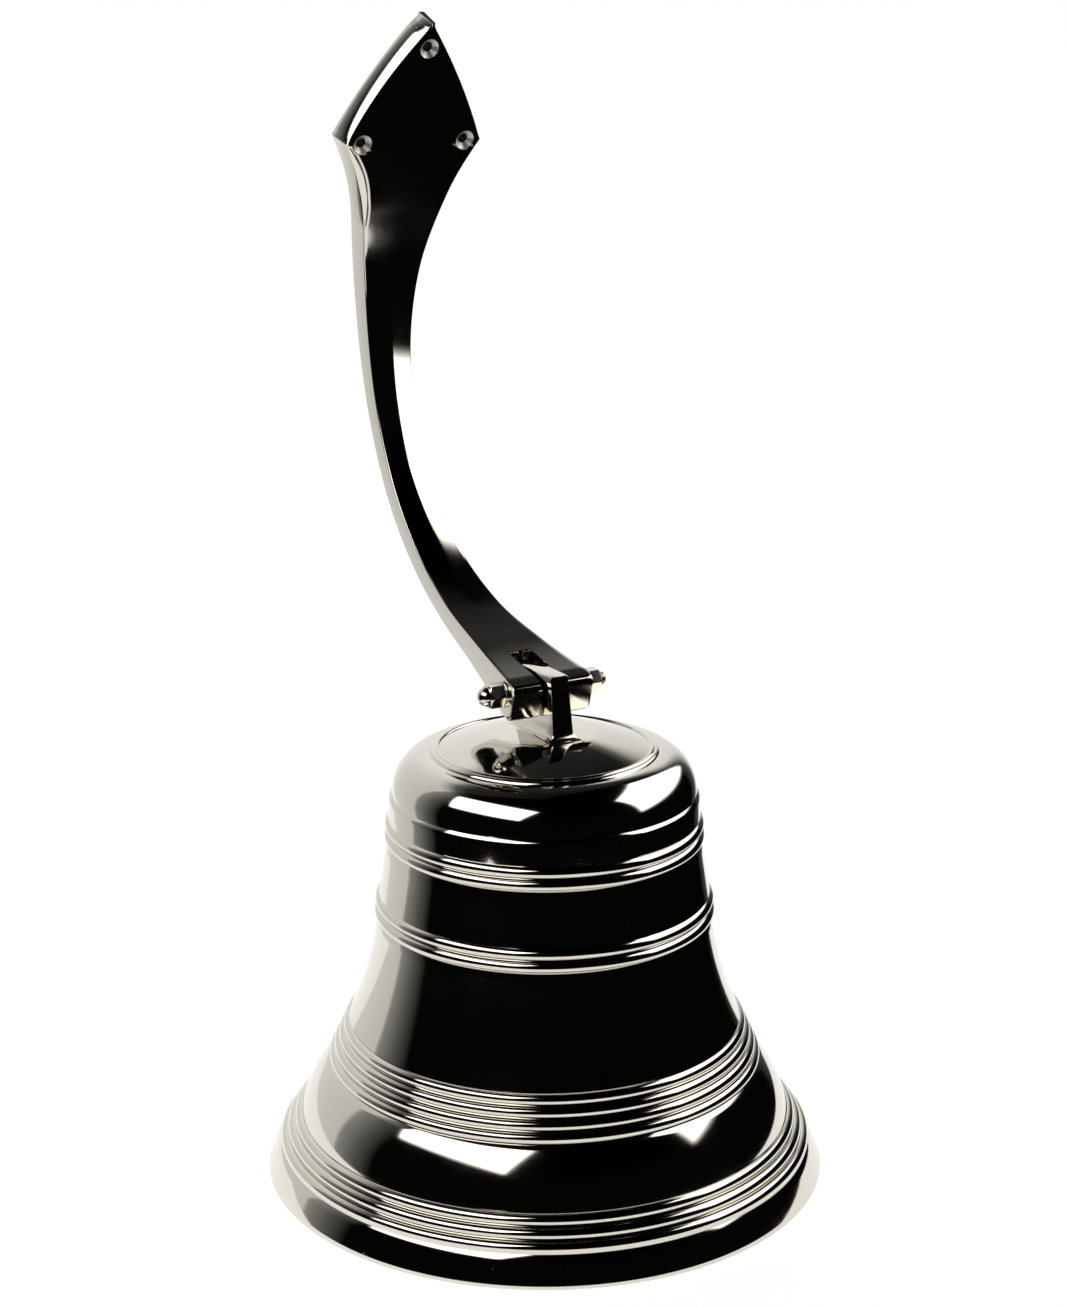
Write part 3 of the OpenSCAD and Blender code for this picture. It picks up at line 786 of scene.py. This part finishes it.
def arm_rings(s):
    """Rings from the fork's square nose, along the arm, to the plate's point."""
    points = spine_points(s)
    stations = len(points) - 1
    rings = []
    place, way = smooth_path(points, 0)
    for i in range(9):
        a = math.pi / 2 * (1 - i / 8)
        centre = place - way * (NOSE_REACH - NOSE_ROUND * (1 - math.sin(a)))
        thick = s["fork_t"] - 2 * NOSE_ROUND * (1 - math.cos(a))
        rings.append(arm_section(centre, (way[1], -way[0]), s["fork_w"] / 2, thick, 0, 0))
    for i in range(stations * 16):
        u = i / 16
        f = u / stations
        place, way = smooth_path(points, u)
        if f < 0.5:
            half = (s["width"] + (s["fork_w"] - s["width"]) * (1 - 2 * f) ** 2) / 2
        else:
            half = (s["width"] + (s["plate_w"] - s["width"]) * (2 * f - 1) ** 2.7) / 2
        if f < 0.22:
            thick = s["thickness"] + (s["fork_t"] - s["thickness"]) * (1 - f / 0.22) ** 2
        else:
            thick = s["thickness"] + (s["plate_t"] - s["thickness"]) * max(0.0, f - 0.6) / 0.4
        ridge = s["ridge"] * max(0.0, 1 - abs((f - 0.5) / 0.36) ** (2 if f < 0.5 else 4))
        filed = FILED_EDGE * math.sin(math.pi * min(1.0, max(0.0, (1 - f) / 0.16))) ** 0.8
        rings.append(arm_section(place, (way[1], -way[0]), half, thick, ridge,
                                 SIDE_DRAFT * max(0.0, 2 * f - 1), filed))
    root = Vector(points[-1])
    up = Vector((-math.sin(PLATE_LEAN), math.cos(PLATE_LEAN)))
    out = (math.cos(PLATE_LEAN), math.sin(PLATE_LEAN))
    for i in range(37):
        f = i / 36
        half = s["plate_w"] / 2 * (1 - f) * (1 + 0.25 * f)
        filed = FILED_EDGE * math.sin(math.pi * f) ** 0.7
        rings.append(arm_section(root + up * s["plate_l"] * f, out, max(half, 0.9), s["plate_t"], 0,
                                 SIDE_DRAFT, filed))
    return rings


def screw_cutter(s):
    """A countersunk hole, seen from the plate's front, which is at height 0."""
    sink, hole = s["sink_d"] / 2, s["screw_d"] / 2
    return turned([(0, -1), (sink + 1, -1), (hole, sink - hole), (hole, s["plate_t"] - 0.3),
                   (hole + 1.3, s["plate_t"] + 1), (0, s["plate_t"] + 1)], 48)


class SHIPBELL_OT_bracket(bpy.types.Operator):
    """Build the swinging bracket: fork, curved arm and countersunk wall plate, cast in one"""
    bl_idname = "object.ship_bell_bracket"
    bl_label = "Bracket arm"

    def execute(self, context):
        scene = context.scene
        s = sized(scene.ship_bell_arm)
        pivot_r = sized(scene.ship_bell_hardware)["pivot_d"] / 2
        slot = bmesh.new()
        bmesh.ops.create_cube(slot, size=1.0)
        reach = s["fork_t"] + s["slot_depth"]
        bmesh.ops.scale(slot, vec=(s["slot_w"], reach, 4 * s["fork_t"]), verts=slot.verts)
        moved(slot, Matrix.Translation((0, s["slot_depth"] - reach / 2, 0)))
        cutters = [slot, moved(cylinder(pivot_r + 0.05, -40, 40), ALONG_X)]
        root = Vector(spine_points(s)[-1])
        plate = (Matrix.Translation((0, root[0], root[1])) @ Matrix.Rotation(PLATE_LEAN, 4, "X")
                 @ Matrix.Translation((0, 0, s["screw_circle"] / 4))
                 @ Matrix.Rotation(-math.pi / 2, 4, "X"))
        spots = [plate @ Matrix.Rotation(math.radians(90 + 120 * k), 4, "Z")
                 @ Matrix.Translation((-s["screw_circle"] / 2, 0, -s["plate_t"] / 2)) for k in range(3)]
        cutters += [moved(screw_cutter(s), spot) for spot in spots]
        home = Matrix.Translation((-SIDE_PLAY, 0, bolt_height(scene)))
        bm = moved(cut(lofted(arm_rings(s)), cutters), home)
        # The countersinks were drilled after the arm was polished, so their cones keep a duller cut.
        backs = [(home @ spot).inverted() for spot in spots]

        def depth_in_hole(face):
            for back in backs:
                place = back @ (face.calc_center_median() / MM)
                if math.hypot(place.x, place.y) < s["sink_d"] / 2 + 0.2:
                    return place.z
            return 0.0

        # Deeper than the cone, the bore's wall is coloured dark: painted shade inside the hole.
        cone = (s["sink_d"] - s["screw_d"]) / 2 - 0.05
        bore_end = s["plate_t"] - 0.02
        piece("bracket_arm_cast", bm, "bracket", "bracket_arm", "mirror_nickel_buffed",
              sharp=34, inner=[(lambda face: 0.02 < depth_in_hole(face) < cone, "drilled_nickel"),
                               (lambda face: cone <= depth_in_hole(face) < bore_end, "bore_painted_shade")])
        return {"FINISHED"}


# ---------------------------------------------------------------- pivot hardware

PIVOT_WASHER_D = 12
PIVOT_WASHER_T = 1.2
PIVOT_NUT_H = 6
STUD_PROUD = 4
ACORN_H = 11.5
ACORN_HEX_H = 7


class SHIPBELL_OT_pivot(bpy.types.Operator):
    """Build the pivot bolt, its acorn nut, its hexagon nut and the two washers"""
    bl_idname = "object.ship_bell_pivot"
    bl_label = "Pivot hardware"

    def execute(self, context):
        scene = context.scene
        hardware, arm = sized(scene.ship_bell_hardware), sized(scene.ship_bell_arm)
        pivot_z = bolt_height(scene)
        radius, flats = hardware["pivot_d"] / 2, hardware["pivot_af"]
        left, right = -SIDE_PLAY - arm["fork_w"] / 2, -SIDE_PLAY + arm["fork_w"] / 2

        def placed(x, turn):
            return Matrix.Translation((x, 0, pivot_z)) @ turn

        # The bolt is plain through the fork and threaded where it stands out of the hexagon nut.
        start = left - PIVOT_WASHER_T - ACORN_H + 4
        end = right + PIVOT_WASHER_T + PIVOT_NUT_H + STUD_PROUD
        size = end - start
        thread_from = size - PIVOT_NUT_H - STUD_PROUD
        rows = [(0, 0), (radius - 0.3, 0), (radius, 0.3), (radius, thread_from)]
        rows += threaded(radius, 1.0, thread_from, size - 1.3)
        for i in range(7):
            a = math.pi / 2 * i / 6
            rows.append((radius * math.cos(a) if i < 6 else 0, size - 1.3 + 1.3 * math.sin(a)))
        piece("pivot_stud_turned", moved(turned(rows, 64), placed(start, ALONG_X)), "bracket",
              "pivot_stud", "bright_nickel_hardware")

        # The acorn nut: hexagon, short neck and round dome, closed over the bolt's end.
        dome = flats / 2 - 0.6
        inner = flats / 2 - 0.15
        corner = flats / 2 / math.cos(math.pi / 6)
        limits = [inner + (corner - inner) * k / 5 for k in range(6)]
        rows = [(radius + 0.05, 0.35), (radius + 0.4, 0), (inner, 0)]
        rows += [(hexagon(flats, limits[k]), 0.1 * k) for k in range(1, 6)]
        rows += [(hexagon(flats, limits[k]), ACORN_HEX_H - 0.12 * k) for k in range(5, -1, -1)]
        for i in range(17):
            a = math.radians(4 + 86 * i / 16)
            rows.append((dome * math.cos(a) if i < 16 else 0, ACORN_H - dome + dome * math.sin(a)))
        rows[-1] = (0, ACORN_H)
        rows = [(0, ACORN_H - 3.5), (radius + 0.05, ACORN_H - 3.5)] + rows
        acorn = moved(turned(rows, 96), placed(left - PIVOT_WASHER_T, ALONG_MINUS_X))
        piece("pivot_acorn_nut_turned", acorn, "bracket", "pivot_acorn_nut",
              "bright_nickel_hardware", sharp=24)

        nut = turned(nut_rows(flats, PIVOT_NUT_H, radius + 0.05), 96, closed=True)
        piece("pivot_hex_nut_turned", moved(nut, placed(right + PIVOT_WASHER_T, ALONG_X)), "bracket",
              "pivot_hex_nut", "bright_nickel_hardware", sharp=24)

        section = washer_rows(PIVOT_WASHER_D / 2, radius + 0.2, PIVOT_WASHER_T)
        rings = [moved(turned(section, 64, closed=True), placed(x, ALONG_X))
                 for x in (left - PIVOT_WASHER_T, right)]
        piece("pivot_washers_pressed", joined(*rings), "bracket", "pivot_washers",
              "bright_nickel_hardware")
        return {"FINISHED"}


# ---------------------------------------------------------------- crown fixing and clapper

CROWN_NUT_FLATS, COLLAR_FLATS = 10, 13
NUT_H = 6.5
CROWN_WASHER_D = 30
CROWN_WASHER_T = 1.6
LOCK_WASHER_T = 2
EYE_WIRE, EYE_R, NECK_H = 3, 8, 5
SHACKLE_WIRE, SHACKLE_R = 2.5, 10
ROD_WIRE, ROD_EYE_R = 2.6, 7.5
FREE_GAP = 0.35
THREAD_DEPTH = 12
BALL_FLAT = 1.2
TAIL_D, TAIL_H, TAIL_T, TAIL_DROP = 13, 6, 5, 8


def hanging_heights(bell):
    """Heights of the pieces under the crown, from the top down."""
    under = bell["crown_h"] + bell["crown_dome"] - bell["wall"] - 1
    washer = under - CROWN_WASHER_T
    lock = washer - LOCK_WASHER_T
    nut = lock - NUT_H
    eye = nut - NECK_H - EYE_R
    shackle = eye - EYE_R + EYE_WIRE + SHACKLE_WIRE + FREE_GAP - SHACKLE_R
    rod_eye = shackle - SHACKLE_R + SHACKLE_WIRE + ROD_WIRE + FREE_GAP - ROD_EYE_R
    return {"washer": washer, "lock": lock, "nut": nut, "eye": eye, "shackle": shackle,
            "rod_eye": rod_eye}


class SHIPBELL_OT_crown_fixing(bpy.types.Operator):
    """Build the eye bolt that clamps the lug to the crown, with its nut and washers"""
    bl_idname = "object.ship_bell_crown_fixing"
    bl_label = "Crown fixing"

    def execute(self, context):
        scene = context.scene
        bell = sized(scene.ship_bell_bell)
        at = hanging_heights(bell)
        radius = sized(scene.ship_bell_hardware)["eye_bolt_d"] / 2

        washer = turned(washer_rows(CROWN_WASHER_D / 2, radius + 0.3, CROWN_WASHER_T), 96, closed=True)
        piece("crown_washer_pressed", moved(washer, lifted(at["washer"])), "bell", "crown_washer",
              "zinc_plated_steel")

        # The split ring of the lock washer: a square section that stops short of a full turn.
        section = [(radius + 0.3, 0.1), (radius + 0.4, 0), (radius + 2.9, 0), (radius + 3, 0.1),
                   (radius + 3, LOCK_WASHER_T - 0.1), (radius + 2.9, LOCK_WASHER_T),
                   (radius + 0.4, LOCK_WASHER_T), (radius + 0.3, LOCK_WASHER_T - 0.1)]
        rings = []
        for i in range(73):
            a = math.radians(5 + 350 * i / 72)
            rings.append([(r * math.cos(a), r * math.sin(a), z) for r, z in section])
        piece("crown_lock_washer_wound", moved(lofted(rings), lifted(at["lock"])), "bell",
              "crown_lock_washer", "zinc_plated_steel")

        nut = turned(nut_rows(CROWN_NUT_FLATS, NUT_H, radius + 0.05), 96, closed=True)
        piece("crown_nut_pressed", moved(nut, lifted(at["nut"])), "bell", "crown_nut",
              "zinc_plated_steel", sharp=24)

        # The eye is bent from the bolt's own rod, so the shank runs into the ring's top.
        low, high = at["eye"] + EYE_R, bell["crown_h"] + bell["crown_dome"] + THREAD_DEPTH - 0.5
        rows = [(0, low - 1.5), (radius - 0.9, low - 1.5), (radius, low + 1.8)]
        rows += threaded(radius, 1.25, low + 2.4, high - 0.6)
        rows += [(radius - 0.6, high), (0, high)]
        ring = moved(wire_ring(EYE_R, EYE_WIRE), lifted(at["eye"]) @ ALONG_Y)
        piece("clapper_eye_bolt_bent", joined(ring, turned(rows, 48)), "bell", "clapper_eye_bolt",
              "zinc_plated_steel")
        return {"FINISHED"}


class SHIPBELL_OT_clapper(bpy.types.Operator):
    """Build the shackle and the clapper: rod, collar nut, ball and rope eye"""
    bl_idname = "object.ship_bell_clapper"
    bl_label = "Clapper"

    def execute(self, context):
        scene = context.scene
        hardware = sized(scene.ship_bell_hardware)
        at = hanging_heights(sized(scene.ship_bell_bell))
        rod, ball, middle = hardware["rod_d"] / 2, hardware["ball_d"] / 2, hardware["ball_h"]
        ball_top, ball_low = middle + ball - BALL_FLAT, middle - ball + BALL_FLAT

        shackle = moved(wire_ring(SHACKLE_R, SHACKLE_WIRE), lifted(at["shackle"]) @ ALONG_X)
        piece("clapper_shackle_welded", shackle, "shackle", "clapper_shackle",
              "zinc_plated_steel")

        eye = moved(wire_ring(ROD_EYE_R, ROD_WIRE), lifted(at["rod_eye"]) @ ALONG_Y)
        top = at["rod_eye"] - ROD_EYE_R
        rows = [(0, ball_low - TAIL_H + 1), (rod, ball_low - TAIL_H + 1), (rod, ball_top + NUT_H - 1)]
        rows += threaded(rod, 1.0, ball_top + NUT_H - 1, ball_top + NUT_H + 9)
        rows += [(rod, top - 4), (rod - 0.2, top - 1.5), (rod - 0.9, top + 1.2), (0, top + 1.2)]
        piece("clapper_rod_bent", joined(eye, turned(rows, 48)), "clapper", "clapper_rod",
              "zinc_plated_steel")

        nut = turned(nut_rows(COLLAR_FLATS, NUT_H, rod + 0.05), 96, closed=True)
        piece("clapper_collar_nut_pressed", moved(nut, lifted(ball_top)), "clapper",
              "clapper_collar_nut", "zinc_plated_steel", sharp=24)

        # The ball is turned: two flats, softened rims and a sphere between them.
        flat = math.acos((ball - BALL_FLAT) / ball)
        rows = [(rod + 0.05, ball_low + 0.3), (rod + 0.35, ball_low)]
        for i in range(49):
            a = -math.pi / 2 + flat + (math.pi - 2 * flat) * i / 48
            rows.append((ball * math.cos(a), middle + ball * math.sin(a)))
        rows += [(rod + 0.35, ball_top), (rod + 0.05, ball_top - 0.3)]
        piece("clapper_ball_turned", turned(rows, 96, closed=True), "clapper", "clapper_ball",
              "bright_nickel_hardware")

        # The rope eye: a round collar under the ball and a flat tongue with the rope's hole.
        collar = ball_low - TAIL_H
        hole_z = collar - TAIL_DROP
        rows = [(rod + 0.05, collar + 0.8), (rod + 0.05, ball_low - 0.3), (rod + 0.35, ball_low),
                (TAIL_D / 2 - 0.5, ball_low), (TAIL_D / 2, ball_low - 0.5), (TAIL_D / 2, collar + 0.7),
                (TAIL_D / 2 - 0.7, collar), (0, collar)]
        body = turned([(0, collar + 0.8)] + rows, 64)
        tongue_r = TAIL_D / 2 - 0.5
        outline = [(-tongue_r, collar + 0.4), (-tongue_r, hole_z)]
        outline += [(-tongue_r * math.cos(a), hole_z - tongue_r * math.sin(a))
                    for a in (math.pi * i / 24 for i in range(1, 24))]
        outline += [(tongue_r, hole_z), (tongue_r, collar + 0.4)]
        hole = hardware["rope_hole_d"] / 2
        half = TAIL_T / 2
        rings = []
        for x, inset in ((-half, 0.5), (-half + 0.15, 0.15), (-half + 0.5, 0), (half - 0.5, 0),
                         (half - 0.15, 0.15), (half, 0.5)):
            k = 1 - inset / tongue_r
            rings.append([(x, y * k, hole_z + (z - hole_z) * (k if z < hole_z + 1 else 1))
                          for y, z in outline])
        tongue = lofted(rings)
        drill = turned([(0, -half - 1), (hole + 1.1, -half - 1), (hole + 0.1, -half),
                        (hole, -half + 0.6), (hole, half - 0.6), (hole + 0.1, half),
                        (hole + 1.1, half + 1), (0, half + 1)], 48)
        tongue = cut(tongue, [moved(drill, lifted(hole_z) @ ALONG_X)])
        piece("clapper_rope_eye_cast", joined(body, tongue), "clapper", "clapper_rope_eye",
              "bright_nickel_hardware", sharp=34)
        return {"FINISHED"}


# ---------------------------------------------------------------- stage

CAMERA_LENS = 72.38  # millimetres
CAMERA_PLACE = (0.0, -1.1069, 0.5527)
CAMERA_TILT, CAMERA_YAW, CAMERA_ROLL = (math.radians(a) for a in (15.743, -0.242, 0.116))
PAPER_GLOW = 0.93
# Each panel's place, the point that it faces, its width, height, brightness and soft border.
SOFT_BOXES = [("key_soft_box", ((-0.64, -0.56, 0.95), (0, 0, 0.1), 1.32, 0.70, 2.6, 0.09)),
              ("side_soft_box", ((0.50, 0.18, 0.645), (0, 0, 0.645), 0.86, 0.72, 2.2, 0.08))]


def facing(place, target):
    """A light or camera matrix at place that looks at target."""
    back = (Vector(place) - Vector(target)).normalized()
    side = Vector((0, 0, 1)).cross(back).normalized()
    up = back.cross(side)
    turn = Matrix((side, up, back)).transposed().to_4x4()
    return Matrix.Translation(place) @ turn


def soft_box(name, turn, place, target, width, height, power, edge):
    """A glowing panel with soft borders. It shows in reflections but not to the camera."""
    material, tree, shader = new_material(name)
    shader.inputs["Metallic"].default_value = 0.0
    shader.inputs["Base Color"].default_value = (0, 0, 0, 1)
    shader.inputs["Emission Color"].default_value = (1, 0.985, 0.96, 1)
    place_on = add(tree, "ShaderNodeTexCoord").outputs["Object"]
    split = add(tree, "ShaderNodeSeparateXYZ", [("Vector", place_on)])
    falls = []
    for axis, half in ((0, width / 2), (1, height / 2)):
        across = add(tree, "ShaderNodeMath", [(0, split.outputs[axis])], operation="ABSOLUTE")
        fall = add(tree, "ShaderNodeMapRange", [("Value", across.outputs[0])],
                   interpolation_type="SMOOTHSTEP", From_Min=half - edge, From_Max=half,
                   To_Min=1.0, To_Max=0.0)
        falls.append(fall.outputs[0])
    both = add(tree, "ShaderNodeMath", [(0, falls[0]), (1, falls[1])], operation="MULTIPLY")
    glow = add(tree, "ShaderNodeMath", [(0, both.outputs[0]), (1, power)], operation="MULTIPLY")
    tree.links.new(glow.outputs[0], shader.inputs["Emission Strength"])
    # Behind the panel's soft border the room shows through.
    clear = add(tree, "ShaderNodeBsdfTransparent")
    blend = add(tree, "ShaderNodeMixShader",
                [(0, both.outputs[0]), (1, clear.outputs[0]), (2, shader.outputs[0])])
    output = [node for node in tree.nodes if node.bl_idname == "ShaderNodeOutputMaterial"][0]
    tree.links.new(blend.outputs[0], output.inputs["Surface"])
    corners = (-width / 2, -height / 2, width / 2, height / 2)
    obj = stage_sheet(name, corners, 0.0, turn @ facing(place, target), material)
    obj.visible_camera = False
    obj.visible_diffuse = False
    obj.visible_shadow = False


def stage_sheet(name, corners, z, matrix, material):
    """A flat sheet of the stage, from its lowest to its highest x and y."""
    x0, y0, x1, y1 = corners
    bm = bmesh.new()
    bm.faces.new([bm.verts.new((x, y, z)) for x, y in ((x0, y0), (x1, y0), (x1, y1), (x0, y1))])
    obj = mesh_object(name, bm, [material])
    obj.matrix_world = matrix
    return obj


def paper(name, tint, glow):
    """White studio paper: a fine matt tooth, and lit so that it reads as clean white."""
    material, tree, shader = new_material(name)
    shader.inputs["Metallic"].default_value = 0.0
    shader.inputs["Roughness"].default_value = 0.9
    shader.inputs["Base Color"].default_value = tuple(tint) + (1.0,)
    shader.inputs["Emission Color"].default_value = (1, 1, 1, 1)
    shader.inputs["Emission Strength"].default_value = glow
    place = add(tree, "ShaderNodeTexCoord").outputs["Object"]
    tooth = add(tree, "ShaderNodeTexNoise", [("Vector", place)], Scale=per_metre(0.8), Detail=3.0)
    bump = add(tree, "ShaderNodeBump", [("Height", tooth.outputs["Fac"])], Strength=0.1, Distance=1e-4)
    tree.links.new(bump.outputs[0], shader.inputs["Normal"])
    return material


def studio_world(turn_angle):
    """The room: dark in front, pale card behind and to the left. The camera itself sees plain white."""
    world = bpy.data.worlds.new("studio")
    bpy.context.scene.world = world
    world.use_nodes = True
    tree = world.node_tree
    tree.nodes.clear()
    way = add(tree, "ShaderNodeTexCoord").outputs["Generated"]
    turned_way = add(tree, "ShaderNodeVectorRotate", [("Vector", way)], rotation_type="Z_AXIS",
                     Angle=turn_angle)
    split = add(tree, "ShaderNodeSeparateXYZ", [("Vector", turned_way.outputs[0])])
    back = add(tree, "ShaderNodeMath", [(0, split.outputs["Y"]), (1, -1.0)], operation="MULTIPLY")
    round_angle = add(tree, "ShaderNodeMath", [(0, split.outputs["X"]), (1, back.outputs[0])],
                      operation="ARCTAN2")
    share = add(tree, "ShaderNodeMapRange", [("Value", round_angle.outputs[0])],
                From_Min=-math.pi, From_Max=math.pi)
    cards = ramp(add(tree, "ShaderNodeValToRGB", [("Fac", share.outputs[0])]),
                 [(0.0, 1.0), (0.045, 0.95), (0.09, 0.82), (0.193, 0.68), (0.196, 0.30), (0.235, 0.10),
                  (0.265, 0.0015), (0.895, 0.0015), (0.93, 0.08), (0.958, 0.85), (1.0, 1.0)])
    # The card behind ends lower than the one on the left, so each side fades at its own height.
    leftness = add(tree, "ShaderNodeMapRange", [("Value", split.outputs["X"])],
                   interpolation_type="SMOOTHSTEP", From_Min=-0.35, From_Max=0.05,
                   To_Min=0.22, To_Max=0.0)
    lowered = add(tree, "ShaderNodeMath", [(0, split.outputs["Z"]), (1, leftness.outputs[0])],
                  operation="SUBTRACT")
    height = ramp(add(tree, "ShaderNodeValToRGB", [("Fac", lowered.outputs[0])]),
                  [(0.0, 1.0), (0.44, 1.0), (0.50, 0.72), (0.56, 0.16), (0.62, 0.03), (1.0, 0.006)])
    room = add(tree, "ShaderNodeMix", [("A", cards.outputs[0]), ("B", height.outputs[0])],
               data_type="RGBA", blend_type="MULTIPLY")
    room.inputs["Factor"].default_value = 1.0
    seen = add(tree, "ShaderNodeLightPath").outputs["Is Camera Ray"]
    studio = add(tree, "ShaderNodeBackground", [("Color", room.outputs["Result"])], Strength=1.0)
    white = add(tree, "ShaderNodeBackground", Color=(1, 1, 1, 1), Strength=1.0)
    both = add(tree, "ShaderNodeMixShader", [(0, seen), (1, studio.outputs[0]), (2, white.outputs[0])])
    add(tree, "ShaderNodeOutputWorld", [("Surface", both.outputs[0])])


class SHIPBELL_OT_stage(bpy.types.Operator):
    """Set the stage: camera, white paper, soft boxes and the dim room round them"""
    bl_idname = "object.ship_bell_stage"
    bl_label = "Stage"

    def execute(self, context):
        scene = context.scene
        turn = Matrix.Rotation(-VIEW_TURN, 4, "Z")
        studio_world(VIEW_TURN)
        scene.view_settings.view_transform = "Standard"

        data = bpy.data.cameras.new("camera")
        data.sensor_width = 36.0
        data.lens = CAMERA_LENS
        data.clip_start, data.clip_end = 0.05, 50.0
        camera = bpy.data.objects.new("camera", data)
        scene.collection.objects.link(camera)
        camera.matrix_world = (turn @ Matrix.Translation(CAMERA_PLACE)
                               @ Matrix.Rotation(-CAMERA_YAW, 4, "Z")
                               @ Matrix.Rotation(math.pi / 2 - CAMERA_TILT, 4, "X")
                               @ Matrix.Rotation(-CAMERA_ROLL, 4, "Z"))
        scene.camera = camera

        # The narrow sheet shows in the metal. The wide one under it only fills the view.
        sheet = paper("white_paper", scene.ship_bell_finish.floor, PAPER_GLOW)
        stage_sheet("floor_paper", (-0.40, -0.52, 0.26, 2.2), 0.0, turn, sheet)
        wide = stage_sheet("floor_wide", (-6, -6, 6, 6), -0.0006, turn, sheet)
        wide.visible_glossy = False

        for name, panel in SOFT_BOXES:
            soft_box(name, turn, *panel)
        return {"FINISHED"}


# ---------------------------------------------------------------- panel and registration

class SHIPBELL_PT_panel(bpy.types.Panel):
    """Lists the ship bell's operators and its sizes and colours"""
    bl_label = "Ship bell"
    bl_idname = "SHIPBELL_PT_panel"
    bl_space_type = "VIEW_3D"
    bl_region_type = "UI"
    bl_category = "Ship bell"

    def draw(self, context):
        for operator in OPERATORS:
            self.layout.operator(operator.bl_idname)
        for name, _ in GROUPS:
            box = self.layout.box()
            group = getattr(context.scene, name)
            for key in group.bl_rna.properties.keys():
                if key not in ("rna_type", "name"):
                    box.prop(group, key)


GROUPS = [("ship_bell_bell", ShipBellBellSizes), ("ship_bell_lug", ShipBellLugSizes),
          ("ship_bell_arm", ShipBellArmSizes), ("ship_bell_hardware", ShipBellHardwareSizes),
          ("ship_bell_finish", ShipBellFinish)]
OPERATORS = [SHIPBELL_OT_stage, SHIPBELL_OT_bell, SHIPBELL_OT_lug, SHIPBELL_OT_bracket,
             SHIPBELL_OT_pivot, SHIPBELL_OT_crown_fixing, SHIPBELL_OT_clapper]


def register():
    for name, group in GROUPS:
        bpy.utils.register_class(group)
        setattr(bpy.types.Scene, name, PointerProperty(type=group))
    for cls in OPERATORS + [SHIPBELL_PT_panel]:
        bpy.utils.register_class(cls)


def unregister():
    for cls in [SHIPBELL_PT_panel] + OPERATORS[::-1]:
        bpy.utils.unregister_class(cls)
    for name, group in reversed(GROUPS):
        delattr(bpy.types.Scene, name)
        bpy.utils.unregister_class(group)


def main():
    """Builds everything."""
    register()
    for operator in OPERATORS:
        group, name = operator.bl_idname.split(".")
        if getattr(getattr(bpy.ops, group), name)() != {"FINISHED"}:
            raise RuntimeError(operator.bl_idname + " did not finish")


if __name__ == "__main__":
    main()
